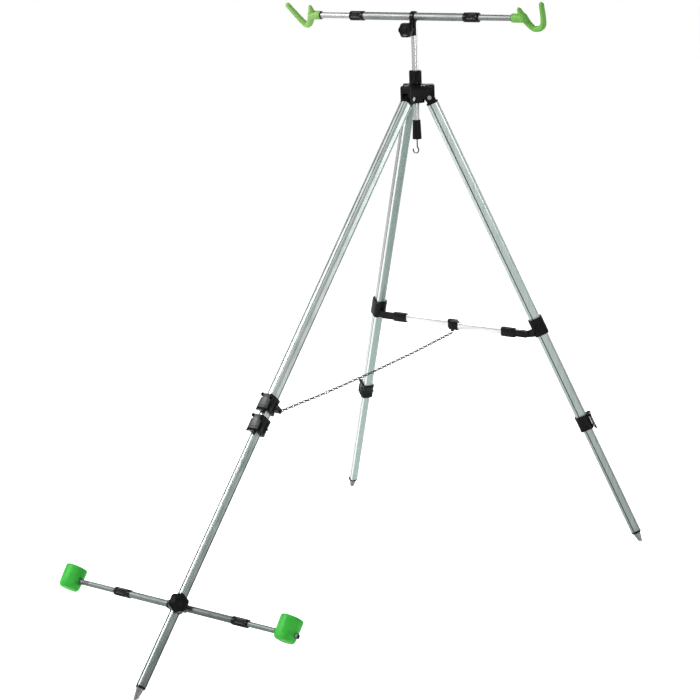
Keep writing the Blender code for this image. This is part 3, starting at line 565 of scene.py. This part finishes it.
def piece(name, shape, material, body, nodes=(), bevel=0.0, smooth=SMOOTH_ANGLE):
    bmesh.ops.recalc_face_normals(shape, faces=shape.faces)
    mesh = bpy.data.meshes.new(name)
    shape.to_mesh(mesh)
    shape.free()
    mesh.shade_smooth()
    mesh.set_sharp_from_angle(angle=smooth)
    mesh.materials.append(material)
    made = bpy.data.objects.new(name, mesh)
    bpy.context.scene.collection.objects.link(made)
    if bevel:
        add_bevel(made, bevel)
    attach(made, body)
    if nodes:
        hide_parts(*nodes)
    return made


def add_bevel(made, width):
    bevel = made.modifiers.new("edges", "BEVEL")
    bevel.width = width
    bevel.segments = 2
    bevel.limit_method = "ANGLE"
    bevel.angle_limit = BEVEL_ANGLE
    bevel.harden_normals = False


def softened(node, body, material, bevel):
    """The node's own solid, cleaned of its coplanar seams, with rounded edges."""
    shape = bmesh.new()
    shape.from_mesh(NODES[node].data)
    bmesh.ops.remove_doubles(shape, verts=shape.verts, dist=SEAM_DISTANCE)
    bmesh.ops.dissolve_limit(shape, angle_limit=SEAM_ANGLE, verts=shape.verts, edges=shape.edges)
    piece(f"{node}_rounded", shape, material, body, [node], bevel=bevel)


def leg_tube(node, leg, body, metal=None):
    low, high = local_box(node, LEG[leg])
    width, depth = high.x - low.x, high.y - low.y
    outer, marked = grooved_section(width, depth, TUBE_CORNER * width)
    narrower, shallower = 1 - 2 * TUBE_WALL / width, 1 - 2 * TUBE_WALL / depth
    inner = [(x * narrower, y * shallower) for x, y in without_grooves(outer, width, depth)]
    edge = grown(outer, -END_LIP)
    levels = [(edge, high.z), (outer, high.z - END_LIP), (outer, low.z + END_LIP), (edge, low.z),
              (inner, low.z), (inner, high.z)]
    shape = bmesh.new()
    stacked(shape, levels, LEG[leg], loop=True, marked=marked)
    metal = metal or LEG_METAL[leg]
    drawn = piece(f"{node}_drawn", shape, metal, body, [node], smooth=TUBE_SMOOTH_ANGLE)
    # The grooves and the inner face take painted shade
    drawn.data.materials.append(GROOVE_PAINTED_SHADE)
    drawn.data.materials.append(INNER_FACE_PAINTED_SHADE)


def round_tube(node, body, matrix, material, threads=()):
    """A drawn tube. Threads are (start, end) stretches along it that carry a rolled thread."""
    low, high = local_box(node, matrix)
    radius = (high.x - low.x) / 2
    inner = radius - ROUND_WALL
    profile = [(radius - END_LIP, low.z), (radius, low.z + END_LIP)]
    for start, end in threads:
        for i in range(int((end - start) / THREAD_PITCH)):
            base = start + i * THREAD_PITCH
            profile += [(radius, base), (radius, base + THREAD_PITCH * 0.40),
                        (radius - THREAD_DEPTH, base + THREAD_PITCH * 0.55),
                        (radius - THREAD_DEPTH, base + THREAD_PITCH * 0.85)]
    profile += [(radius, high.z - END_LIP), (radius - END_LIP, high.z), (inner, high.z), (inner, low.z)]
    shape = bmesh.new()
    turned(shape, profile, matrix, 40, loop=True)
    piece(f"{node}_drawn", shape, material, body, [node])


def bore_radii(node, matrix):
    """The bore's radius at a collar's two ends."""
    low, high = local_box(node, matrix)
    back = matrix.inverted()
    radii = {low.z: [], high.z: []}
    for vertex in NODES[node].data.vertices:
        point = back @ vertex.co
        for height, found in radii.items():
            if abs(point.z - height) < 1e-4:
                found.append(math.hypot(point.x, point.y))
    return min(radii[low.z]), min(radii[high.z])


def ribbed_collar(node, body, matrix, ribs=16):
    """A twist collar: fine ribs round its middle between two smooth bands."""
    low, high = local_box(node, matrix)
    radius = (high.x - low.x) / 2
    band = 0.22 * (high.z - low.z)
    step = COLLAR_RIM / 2
    plain = waved_circle(radius, ribs, 0.0)
    ribbed = waved_circle(radius, ribs, RIB_DEPTH)
    edge = waved_circle(radius - COLLAR_RIM, ribs, 0.0)
    bore_low, bore_high = (waved_circle(bore, ribs, 0.0) for bore in bore_radii(node, matrix))
    levels = [(edge, low.z), (plain, low.z + COLLAR_RIM), (plain, low.z + band),
              (ribbed, low.z + band + step), (ribbed, high.z - band * 0.6),
              (plain, high.z - band * 0.6 + step), (plain, high.z - COLLAR_RIM), (edge, high.z),
              (bore_high, high.z), (bore_low, low.z)]
    shape = bmesh.new()
    stacked(shape, levels, matrix, loop=True)
    piece(f"{node}_moulded", shape, BLACK, body, [node])


def knob(node, body, matrix):
    """A lobed knob with rounded rims, a dished face and a hub behind it."""
    low, high = local_box(node, matrix)
    radius = max(high.x, high.y, -low.x, -low.y)
    thick = high.z
    full = waved_circle(radius, KNOB_LOBES, KNOB_DIP * radius, 10)
    # (share of the radius, height), from the back round to the middle of the face
    rounded = [(0.70, 0.0), (0.93, 0.0004), (0.985, KNOB_RIM * 0.5), (1.0, KNOB_RIM),
               (1.0, thick - KNOB_RIM), (0.985, thick - KNOB_RIM * 0.45), (0.94, thick - 0.0002),
               (0.86, thick), (0.72, thick - 0.0012), (0.45, thick - 0.0018), (0.40, thick - 0.0004),
               (0.30, thick)]
    levels = [([(x * share, y * share) for x, y in full], z) for share, z in rounded]
    shape = bmesh.new()
    stacked(shape, levels, matrix)
    turned(shape, [(KNOB_HUB, -0.004), (KNOB_HUB, 0.0005)], matrix, 24)
    turned(shape, [(KNOB_SCREW, low.z), (KNOB_SCREW, -0.003)], matrix, 16)
    piece(f"{node}_moulded", shape, BLACK, body, [node])


# ---------------------------------------------------------------- leg fittings


def hinge_place(joint, leg):
    """Where a joint is in its leg's frame."""
    return LEG[leg].inverted() @ joint_place(joint)


def screw_head(shape, matrix, radius, height):
    """A domed screw head with a round recess at its middle."""
    profile = [(radius, 0.0), (radius, height * 0.5), (radius * 0.8, height * 0.9), (radius * 0.45, height),
               (radius * 0.38, height * 0.45), (0.0, height * 0.4)]
    turned(shape, profile, matrix, 20)


def lock_body(shape, leg, hinge):
    """A moulded clamp body with a rim at each end and a waist between them."""
    middle = hinge.z - LOCK_BELOW_HINGE
    top, foot = middle + LOCK_LENGTH / 2, middle - LOCK_LENGTH / 2
    full = shrunk_rectangle(LOCK_SECTION, 0.0)
    waist = shrunk_rectangle(LOCK_SECTION, LOCK_WAIST)
    edge = shrunk_rectangle(LOCK_SECTION, LOCK_EDGE)
    bore = shrunk_rectangle(LOCK_BORE, 0.0)
    wide = shrunk_rectangle(LOCK_WIDE_BORE, 0.0)
    levels = [(edge, top), (full, top - LOCK_EDGE), (full, top - LOCK_RIM), (waist, top - LOCK_RIM - 0.001),
              (waist, foot + LOCK_RIM + 0.001), (full, foot + LOCK_RIM), (full, foot + LOCK_EDGE),
              (edge, foot), (bore, foot), (bore, foot + LOCK_LIP), (wide, foot + LOCK_LIP + 0.0005),
              (wide, top)]
    stacked(shape, levels, LEG[leg], loop=True)


def lever_ear(shape, leg, hinge, side):
    """A round ear that holds one end of the lever's pin, and the web that joins it to the body."""
    half = EAR_THICKNESS / 2
    x = side * (LEVER_WIDTH / 2 + 0.0027)
    place = LEG[leg] @ moved(x, hinge.y, hinge.z) @ turned_by(math.pi / 2, "Y")
    profile = [(EAR_RADIUS - 0.0004, -half), (EAR_RADIUS, -half + 0.0008), (EAR_RADIUS, half - 0.0008),
               (EAR_RADIUS - 0.0004, half)]
    turned(shape, profile, place, 18)
    low = (x - half, hinge.y, hinge.z - 0.0042)
    high = (x + half, hinge.y + 0.006, hinge.z + 0.0042)
    bar(shape, low, high, 0.0006, LEG[leg])


def lock_side(shape, leg, hinge, side):
    """The clamp's slit, as two ribs, and its screw on one side of a lock."""
    x, half = side * 0.0168, 0.0009
    for y in (0.0015, 0.0058):
        low = (x - half, y - half, hinge.z - 0.032)
        high = (x + half, y + half, hinge.z - 0.004)
        bar(shape, low, high, 0.0004, LEG[leg])
    place = LEG[leg] @ moved(side * 0.0160, 0.0118, hinge.z - 0.018) @ turned_by(side * math.pi / 2, "Y")
    screw_head(shape, place, 0.0026, 0.0022)


def chain_lug(shape, leg):
    """Two cheeks on the inner side of the collar with a ring bolt between them."""
    root = 0.026
    eye = local_box("rear_leg_chain_collar", LEG[leg])[1].y - 0.0075
    middle = hinge_place("chain_1_bend", leg).z
    outline = [(0.014, -0.010), (0.014, 0.012), (root, 0.0075), *arc((eye, 0.0), 0.0068, 70, -70, 8),
               (root, -0.0075)]
    for x in (-0.0045, 0.0045):
        rings = []
        for share, offset in ((0.94, -0.0021), (1.0, -0.0014), (1.0, 0.0014), (0.94, 0.0021)):
            rings.append([(x + offset, root + (y - root) * share, middle + z * share) for y, z in outline])
        loft(shape, rings, LEG[leg])
    place = LEG[leg] @ moved(0.0, eye, middle) @ turned_by(math.pi / 2, "Y")
    half_bolt = [(0.0022, 0.0064), (0.0042, 0.0066), (0.0042, 0.0075), (0.0036, 0.0085)]
    turned(shape, [(radius, -x) for radius, x in half_bolt[::-1]] + half_bolt, place, 18)


def leg_lock(node, leg, body, lever_joint, with_lug=False):
    hinge = hinge_place(lever_joint, leg)
    shape = bmesh.new()
    lock_body(shape, leg, hinge)
    for side in SIDES:
        lever_ear(shape, leg, hinge, side)
        lock_side(shape, leg, hinge, side)
    if with_lug:
        chain_lug(shape, leg)
    piece(f"{node}_moulded", shape, BLACK, body, [node])


def lever_section(half, front, back):
    """Across the lever: a slightly domed outer face, a flat inner one and round edges."""
    depth = back - front
    outer, inner = [], []
    for i in range(LEVER_STEPS + 1):
        u = 2 * i / LEVER_STEPS - 1
        edge = 0.5 * depth * abs(u) ** 7
        outer.append((half * u, front + 0.12 * depth * u * u + edge))
        inner.append((half * u, back - edge))
    return outer + inner[-2:0:-1]


def lever(node, leg, body, joint):
    """A flip lever: a narrow hinge end between the ears, a wide plate, a grip ridge and a lip."""
    place = LEG[leg] @ Matrix.Translation(hinge_place(joint, leg))
    plate = bmesh.new()
    stacked(plate, [(lever_section(*section), z) for z, *section in LEVER_PLATE], place)
    half_pin = LEVER_WIDTH / 2 + 0.0033
    turned(plate, [(0.0018, -half_pin), (0.0018, half_pin)], place @ turned_by(math.pi / 2, "Y"), 14)
    # The plate of the rear and right levers takes grey plastic painted as a highlight
    piece(f"{node}_plate", plate, LEVER_PLASTIC_AND_HIGHLIGHT[leg], body, [node])
    lip = bmesh.new()
    stacked(lip, [(lever_section(*section), z) for z, *section in LEVER_LIP], place)
    piece(f"{node}_lip", lip, BLACK, body)


def cut_at_ground(shape):
    parts = [*shape.verts, *shape.edges, *shape.faces]
    cut = bmesh.ops.bisect_plane(
        shape, geom=parts, plane_co=(0, 0, 0), plane_no=(0, 0, -1), clear_outer=True
    )
    edges = [found for found in cut["geom_cut"] if isinstance(found, bmesh.types.BMEdge)]
    bmesh.ops.edgeloop_fill(shape, edges=edges)


def spike(leg, body):
    """A moulded shoulder ring and a turned steel point, cut level with the ground."""
    node = f"{leg}_leg_spike"
    low, high = local_box(node, LEG[leg])
    radius = high.x - SPIKE_INSET
    plug = radius - SPIKE_PLUG
    top = local_box(f"{leg}_leg_lower_tube", LEG[leg])[0].z - 0.0003
    foot = top - SPIKE_RING
    ring = bmesh.new()
    profile = [(0.006, top), (radius, top), (radius, foot), (radius - 0.0012, foot - 0.0010),
               (0.008, foot - 0.0012)]
    turned(ring, profile, LEG[leg], 36)
    turned(ring, [(plug - 0.001, high.z), (plug, high.z - 0.001), (plug, top)], LEG[leg], 28)
    piece(f"{node}_ring", ring, BLACK, body, [node])
    shoulder = foot - 0.0011
    point = bmesh.new()
    profile = [(radius - 0.0024, shoulder), (radius - 0.0030, shoulder - 0.0014), (SPIKE_TIP, low.z - 0.004)]
    turned(point, profile, LEG[leg], 28)
    cut_at_ground(point)
    piece(f"{node}_point", point, DARK_STEEL, body)


# ---------------------------------------------------------------- chain


def link(shape, place):
    """A welded oval link lying along Z of its place."""
    straight = LINK_LENGTH / 2 - LINK_WIDTH / 2
    bend = LINK_WIDTH / 2 - LINK_WIRE
    route = [Vector((x, 0.0, straight + z)) for x, z in arc((0, 0), bend, 0, 180, 7)]
    route += [Vector((x, 0.0, -straight + z)) for x, z in arc((0, 0), bend, 180, 360, 7)]
    normal = Vector((0.0, 1.0, 0.0))
    rings = []
    for i, point in enumerate(route):
        along = (route[(i + 1) % len(route)] - route[i - 1]).normalized()
        rings.append(ring_about(point, normal.cross(along).normalized(), normal, LINK_WIRE, 6))
    loft(shape, rings, place, loop=True)


def chain_stretch(index):
    """Links along one stretch, every second one turned a quarter. They also fill the gap left for folding."""
    node = f"chain_segment_{index}"
    start = joint_place(f"chain_{index}_bend")
    low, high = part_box(node)
    centre = (low + high) / 2
    run = Vector((0.0, centre.y - start.y, centre.z - start.z)).normalized()
    matrix = axis_matrix(run, start, (1.0, 0.0, 0.0))
    begin, end = (corner.z for corner in local_box(node, matrix))
    if index == 1:
        begin -= LUG_OVERLAP
        end += CHAIN_FOLD_GAP
    if index == 2:
        begin -= CHAIN_FOLD_GAP
    count = round((end - begin) / (LINK_LENGTH - LINK_NEST * LINK_WIRE))
    shape = bmesh.new()
    for i in range(count):
        middle = begin + (i + 0.5) * (end - begin) / count
        link(shape, matrix @ moved(0.0, 0.0, middle) @ turned_by(math.pi / 2 * (i % 2), "Z"))
    piece(f"{node}_links", shape, CHAIN_STEEL, f"chain_{index}", [node])


# ---------------------------------------------------------------- rests and cups


def rod_rest(side):
    """A banded socket on the arm, and one thick bar from a short spur past its end into the hook."""
    body = f"rod_rest_{SIDES[side]}"
    plane = Matrix.Translation(joint_place(f"{body}_turn")) @ turned_by(REST_TILT, "X")
    route = smooth_route(REST_SPUR + REST_HOOKS[side])
    points = [(side * (REST_REACH + point.x), 0.0, point.y) for point in route]
    shape = bmesh.new()
    swept(shape, points, [point.z for point in route], plane, 18, squash=0.95)
    socket = plane @ turned_by(side * math.pi / 2, "Y")
    start, end = REST_REACH - REST_SOCKET_LENGTH, REST_REACH
    profile = [(0.0106, start), (0.0115, start + 0.0012), (0.0117, start + 0.016),
               (0.0110, start + 0.0168), (0.0110, start + 0.0184), (0.0117, start + 0.0192),
               (0.0116, end - 0.006), (0.0108, end - 0.002), (0.0088, end), (0.0040, end + 0.0005),
               (0.0040, start + 0.031), (0.0080, start + 0.0305), (0.0080, start)]
    turned(shape, profile, socket, 40, loop=True)
    piece(f"{body}_moulded", shape, REST_GREENS[side], body, [body])
    seal = [(0.0082, start - 0.0015), (0.0100, start - 0.0015), (0.0106, start - 0.0008),
            (0.0106, start + 0.0006), (0.0082, start + 0.0006)]
    ring = bmesh.new()
    turned(ring, seal, socket, 36, loop=True)
    piece(f"{body}_seal", ring, BLACK, body)


def butt_cup(side):
    """A thick cup with a rolled lip and a dished floor, and a collar where its arm goes in."""
    word = SIDES[side]
    node = f"butt_cup_{word}"
    pivot = joint_place(f"cup_{word}_turn")
    low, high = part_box(node)
    pivot.x = (low.x + high.x) / 2
    matrix = Matrix.Translation(pivot) @ turned_by(-CUP_LEAN, "X")
    low, high = local_box(node, matrix)
    foot, top, r = low.z, high.z, high.y
    floor = CUP_FLOOR[side]
    outside = [(0.0, foot + 0.0008), (r - 0.0110, foot + 0.0002), (r - 0.0060, foot + 0.0010),
               (r - 0.0030, foot + 0.0034), (r - 0.0018, foot + 0.0075), (r - 0.0012, foot + 0.0160),
               (r - 0.0004, foot + 0.0300)]
    lip = [(r, top - 0.0080), (r, top - 0.0032), (r - 0.0008, top - 0.0010), (r - 0.0022, top),
           (r - 0.0036, top - 0.0006), (r - 0.0044, top - 0.0028)]
    inside = [(r - 0.0056, floor + 0.0060), (r - 0.0076, floor + 0.0012), (r - 0.0120, floor + 0.0002),
              (0.0, floor)]
    shape = bmesh.new()
    turned(shape, [*outside, *lip, *inside], matrix, 48)
    piece(f"{node}_moulded", shape, CUP_GREEN, f"cup_{word}", [node])
    profile = [(0.0100, r - 0.0030), (0.0100, r + 0.0008), (0.0090, r + 0.0020), (0.0065, r + 0.0020),
               (0.0065, r - 0.0030)]
    collar = bmesh.new()
    turned(collar, profile, Matrix.Translation(pivot) @ turned_by(-side * math.pi / 2, "Y"), 28, loop=True)
    piece(f"{node}_collar", collar, DARK_GREEN, f"cup_{word}")


# ---------------------------------------------------------------- stage


def make_camera():
    forward_flat = Vector((-math.sin(CAMERA_YAW), math.cos(CAMERA_YAW), 0.0))
    right_flat = Vector((math.cos(CAMERA_YAW), math.sin(CAMERA_YAW), 0.0))
    up_flat = Vector((0.0, 0.0, 1.0))
    forward = math.cos(CAMERA_PITCH) * forward_flat - math.sin(CAMERA_PITCH) * up_flat
    up = math.sin(CAMERA_PITCH) * forward_flat + math.cos(CAMERA_PITCH) * up_flat
    right = math.cos(CAMERA_ROLL) * right_flat + math.sin(CAMERA_ROLL) * up
    top = -math.sin(CAMERA_ROLL) * right_flat + math.cos(CAMERA_ROLL) * up
    data = bpy.data.cameras.new("camera")
    data.lens = CAMERA_LENS
    data.sensor_width = 36.0
    camera = bpy.data.objects.new("camera", data)
    camera.matrix_world = basis(right, top, -forward, Vector(CAMERA_PLACE))
    bpy.context.scene.collection.objects.link(camera)
    bpy.context.scene.camera = camera


def area_light(name, place, target, size, power):
    data = bpy.data.lights.new(name, "AREA")
    data.shape = "DISK"
    data.size = size
    data.energy = power
    light = bpy.data.objects.new(name, data)
    light.location = place
    light.rotation_euler = (Vector(target) - Vector(place)).to_track_quat("-Z", "Y").to_euler()
    bpy.context.scene.collection.objects.link(light)


def make_world():
    """White to the camera. The tripod is lit by a sky that is brighter above and in front."""
    world = bpy.data.worlds.new("studio")
    bpy.context.scene.world = world
    world.use_nodes = True
    nodes, links = world.node_tree.nodes, world.node_tree.links
    seen, sky = nodes["Background"], nodes.new("ShaderNodeBackground")
    seen.inputs["Color"].default_value = (1.0, 1.0, 1.0, 1.0)
    direction = nodes.new("ShaderNodeTexCoord")
    lean = nodes.new("ShaderNodeVectorMath")
    lean.operation = "DOT_PRODUCT"
    lean.inputs[1].default_value = SKY_LEAN
    links.new(direction.outputs["Generated"], lean.inputs[0])
    bright = between(nodes, links, lean.outputs["Value"], SKY_DIM, SKY_BRIGHT, -1.0, 1.0)
    links.new(bright, sky.inputs["Strength"])
    path = nodes.new("ShaderNodeLightPath")
    mix = nodes.new("ShaderNodeMixShader")
    links.new(path.outputs["Is Camera Ray"], mix.inputs["Fac"])
    links.new(sky.outputs["Background"], mix.inputs[1])
    links.new(seen.outputs["Background"], mix.inputs[2])
    links.new(mix.outputs["Shader"], nodes["World Output"].inputs["Surface"])


def floor_material():
    """Pale, and brighter to the camera than to the tripod."""
    material, nodes, links, shader = new_material("pale_floor")
    shade = noise(nodes, links, texture_place(nodes, links), 3.0, 2.0)
    colour = ramp(nodes, links, shade, (0.93, 0.93, 0.93), (0.96, 0.96, 0.96))
    path = nodes.new("ShaderNodeLightPath")
    glow = between(nodes, links, path.outputs["Is Camera Ray"], 0.0, FLOOR_GLOW)
    links.new(colour, shader.inputs["Base Color"])
    links.new(colour, shader.inputs["Emission Color"])
    links.new(glow, shader.inputs["Emission Strength"])
    shader.inputs["Roughness"].default_value = 0.9
    return material


def make_floor():
    shape = bmesh.new()
    bmesh.ops.create_grid(shape, x_segments=2, y_segments=2, size=FLOOR_HALF)
    mesh = bpy.data.meshes.new("floor")
    shape.to_mesh(mesh)
    shape.free()
    mesh.materials.append(floor_material())
    floor = bpy.data.objects.new("floor", mesh)
    floor.location = (0.0, 0.0, -FLOOR_DROP)
    bpy.context.scene.collection.objects.link(floor)


def make_stage():
    make_world()
    for light in LIGHTS:
        area_light(*light)
    make_floor()
    bpy.context.scene.view_settings.view_transform = "Standard"
    bpy.context.scene.view_settings.look = "None"


# ---------------------------------------------------------------- the tripod's frames and materials


make_camera()
make_stage()

LEG = {name: leg_matrix(name) for name in ("rear", "left", "right")}
BAR_CENTRE = joint_place("rod_rest_left_turn")
CUP_CENTRE = joint_place("cup_left_turn")
COLUMN = axis_matrix((0, 0, 1), JOINTS["column_turn"]["pos_m"])

# Each leg's aluminium, lighter or darker per leg and along its height as painted light and shade
LEG_METAL = {
    name: drawn_metal(f"leg_painted_light_aluminium_{name}", *LEG_LIT_AND_SHADED_COLOURS[name], 0.34, STREAKS[name], painted_light=LEG_PAINTED_LIGHT[name])
    for name in LEG
}
# The rear lower tube, made darker towards the ground by painted shade
LOWER_METAL = drawn_metal(
    "lower_aluminium", (0.22, 0.27, 0.25), (0.36, 0.41, 0.39), 0.36, STREAKS["rear"], painted_light=LOWER_PAINTED_LIGHT
)
# Painted shade: near black aluminium down the grooves, standing in for the dark lines of shade along the legs
GROOVE_PAINTED_SHADE = drawn_metal(
    "groove_painted_shade", (0.030, 0.034, 0.033), (0.060, 0.066, 0.064), 0.55, metallic=0.6
)
# Painted shade: a darker copy of the leg aluminium on the legs' inner faces
INNER_FACE_PAINTED_SHADE = drawn_metal(
    "inner_face_painted_shade", (0.23, 0.31, 0.28), (0.35, 0.43, 0.40), 0.34, STREAKS["left"], painted_light=INNER_PAINTED_LIGHT
)
CROSS_METAL = drawn_metal(
    "crossbar_aluminium", (0.19, 0.20, 0.20), (0.28, 0.29, 0.29), 0.54, BAR_STREAKS
)
# The two arms are one part; the left is painted lighter and the right darker as painted light and shade
REST_ARM_METAL = {
    -1: drawn_metal("left_arm_lit_aluminium", (0.32, 0.33, 0.33), (0.46, 0.47, 0.47), 0.46, BAR_STREAKS),
    1: drawn_metal("right_arm_shaded_aluminium", (0.17, 0.18, 0.18), (0.26, 0.27, 0.27), 0.52, BAR_STREAKS),
}
SPREADER_METAL = drawn_metal(
    "spreader_aluminium", (0.74, 0.75, 0.75), (0.88, 0.89, 0.89), 0.30, BAR_STREAKS
)
# The two cup bars are one part; the left is painted lighter and the right darker as painted light and shade
CUP_BAR_METAL = {
    -1: drawn_metal("left_cup_bar_lit_aluminium", (0.15, 0.18, 0.17), (0.24, 0.27, 0.26), 0.60, CUP_BAR_STREAKS),
    1: drawn_metal("right_cup_bar_shaded_aluminium", (0.11, 0.13, 0.12), (0.18, 0.20, 0.19), 0.62, CUP_BAR_STREAKS),
}
CUP_ARM_METAL = drawn_metal(
    "cup_arm_aluminium", (0.14, 0.17, 0.16), (0.22, 0.25, 0.24), 0.58, CUP_BAR_STREAKS
)
COLUMN_METAL = drawn_metal(
    "column_aluminium", (0.80, 0.81, 0.82), (0.92, 0.93, 0.94), 0.22, COLUMN_STREAKS
)
STEEL = drawn_metal(
    "bright_steel", (0.30, 0.30, 0.30), (0.62, 0.62, 0.63), 0.30, streaks=260.0, bump=0.2
)
DARK_STEEL = drawn_metal(
    "spike_steel", (0.16, 0.17, 0.17), (0.34, 0.35, 0.35), 0.34, streaks=260.0, bump=0.2
)
CHAIN_STEEL = drawn_metal(
    "chain_steel", (0.03, 0.03, 0.033), (0.11, 0.11, 0.115), 0.34, streaks=300.0, bump=0.2
)
BLACK = moulded_plastic(
    "black_plastic", (0.0016, 0.0016, 0.0018), (0.0040, 0.0040, 0.0045), 0.32, scuffs=0.09
)
# Painted highlight: a grey copy of the black plastic for the lit outer faces of the rear and right levers;
# the left lever stays black
LEVER_PAINTED_HIGHLIGHT = moulded_plastic(
    "lever_painted_highlight", (0.045, 0.048, 0.050), (0.085, 0.088, 0.090), 0.32, scuffs=0.40
)
LEVER_PLASTIC_AND_HIGHLIGHT = {"rear": LEVER_PAINTED_HIGHLIGHT, "left": BLACK, "right": LEVER_PAINTED_HIGHLIGHT}
CUP_GREEN = soft_green("cup_green", (0.025, 0.36, 0.035), (0.05, 0.46, 0.045), 0.42)
DARK_GREEN = soft_green("dark_green", (0.012, 0.16, 0.02), (0.02, 0.24, 0.03), 0.45)
# The two rests are one moulding; the left green is painted lighter and the right darker as painted light and
# shade
REST_GREENS = {
    -1: soft_green("left_rest_lit_green", (0.19, 0.40, 0.09), (0.26, 0.48, 0.14), 0.42),
    1: soft_green("right_rest_shaded_green", (0.12, 0.34, 0.055), (0.17, 0.42, 0.08), 0.40),
}


# ---------------------------------------------------------------- the whole tripod


# Rear leg
leg_tube("rear_leg_upper_tube", "rear", "rear_upper")
leg_tube("rear_leg_middle_tube", "rear", "rear_middle")
leg_tube("rear_leg_lower_tube", "rear", "rear_lower", LOWER_METAL)
leg_lock("rear_leg_chain_collar", "rear", "rear_upper", "rear_upper_lever_flip", with_lug=True)
leg_lock("rear_leg_lower_lock", "rear", "rear_middle", "rear_lower_lever_flip")
lever("rear_leg_upper_lever", "rear", "rear_upper_lever", "rear_upper_lever_flip")
lever("rear_leg_lower_lever", "rear", "rear_lower_lever", "rear_lower_lever_flip")
spike("rear", "rear_lower")

# Front legs and spreader
for word in SIDES.values():
    leg_tube(f"{word}_leg_upper_tube", word, f"{word}_upper")
    leg_tube(f"{word}_leg_lower_tube", word, f"{word}_lower")
    leg_lock(f"{word}_leg_lock", word, f"{word}_upper", f"{word}_lever_flip")
    lever(f"{word}_leg_lever", word, f"{word}_lever", f"{word}_lever_flip")
    spike(word, f"{word}_lower")
    softened(f"{word}_spreader_collar", f"{word}_upper", BLACK, 0.0012)
    softened(f"spreader_{word}_socket", f"{word}_spreader", BLACK, 0.0009)
    softened(f"spreader_{word}_knee", f"{word}_spreader", BLACK, 0.0007)
    softened(f"spreader_{word}_bar", f"{word}_spreader", SPREADER_METAL, 0.0006)
for word in LEG:
    softened(f"{word}_leg_knuckle", f"{word}_upper", BLACK, 0.0006)
    softened(f"{word}_leg_pivot_bolt", "head", STEEL, 0.0006)

# Head
softened("head_yoke", "head", BLACK, 0.0011)
ribbed_collar("column_lock_sleeve", "column_sleeve", COLUMN, 18)
softened("column_end_cap", "end_cap", BLACK, 0.0005)
softened("weight_hook", "hook", CHAIN_STEEL, 0.0002)
round_tube("center_column", "column", COLUMN, COLUMN_METAL)

# Chain
for number in range(1, 1 + sum(name.startswith("chain_segment") for name in NODES)):
    chain_stretch(number)

# Crossbar and cup bar
round_tube("crossbar_tube", "column", axis_matrix((1, 0, 0), BAR_CENTRE), CROSS_METAL)
softened("crossbar_bracket", "column", BLACK, 0.0007)
cross_knob_place = joint_place("crossbar_knob_turn") + Vector((0, -CROSS_KNOB_NEAR, 0))
knob("crossbar_knob", "crossbar_knob", axis_matrix((0, -1, 0), cross_knob_place))
cup_knob_axis = Vector(JOINTS["cup_knob_turn"]["axis"])
knob("cup_bar_knob", "cup_knob", axis_matrix(cup_knob_axis, CUP_CENTRE + CUP_KNOB_NEAR * cup_knob_axis))
softened("cup_bar_clamp", "cup_clamp", BLACK, 0.0008)
for sign, word in SIDES.items():
    along_bar = axis_matrix((sign, 0, 0), BAR_CENTRE)
    along_cups = axis_matrix((sign, 0, 0), CUP_CENTRE)
    ribbed_collar(f"crossbar_lock_{word}", f"crossbar_lock_{word}", along_bar)
    round_tube(f"rest_arm_{word}", f"rest_arm_{word}", along_bar, REST_ARM_METAL[sign])
    rod_rest(sign)
    round_tube(f"cup_bar_tube_{word}", "cup_clamp", along_cups, CUP_BAR_METAL[sign])
    ribbed_collar(f"cup_bar_lock_{word}", f"cup_lock_{word}", along_cups)
    round_tube(f"cup_arm_{word}", f"cup_arm_{word}", along_cups, CUP_ARM_METAL, CUP_THREAD[sign])
    butt_cup(sign)
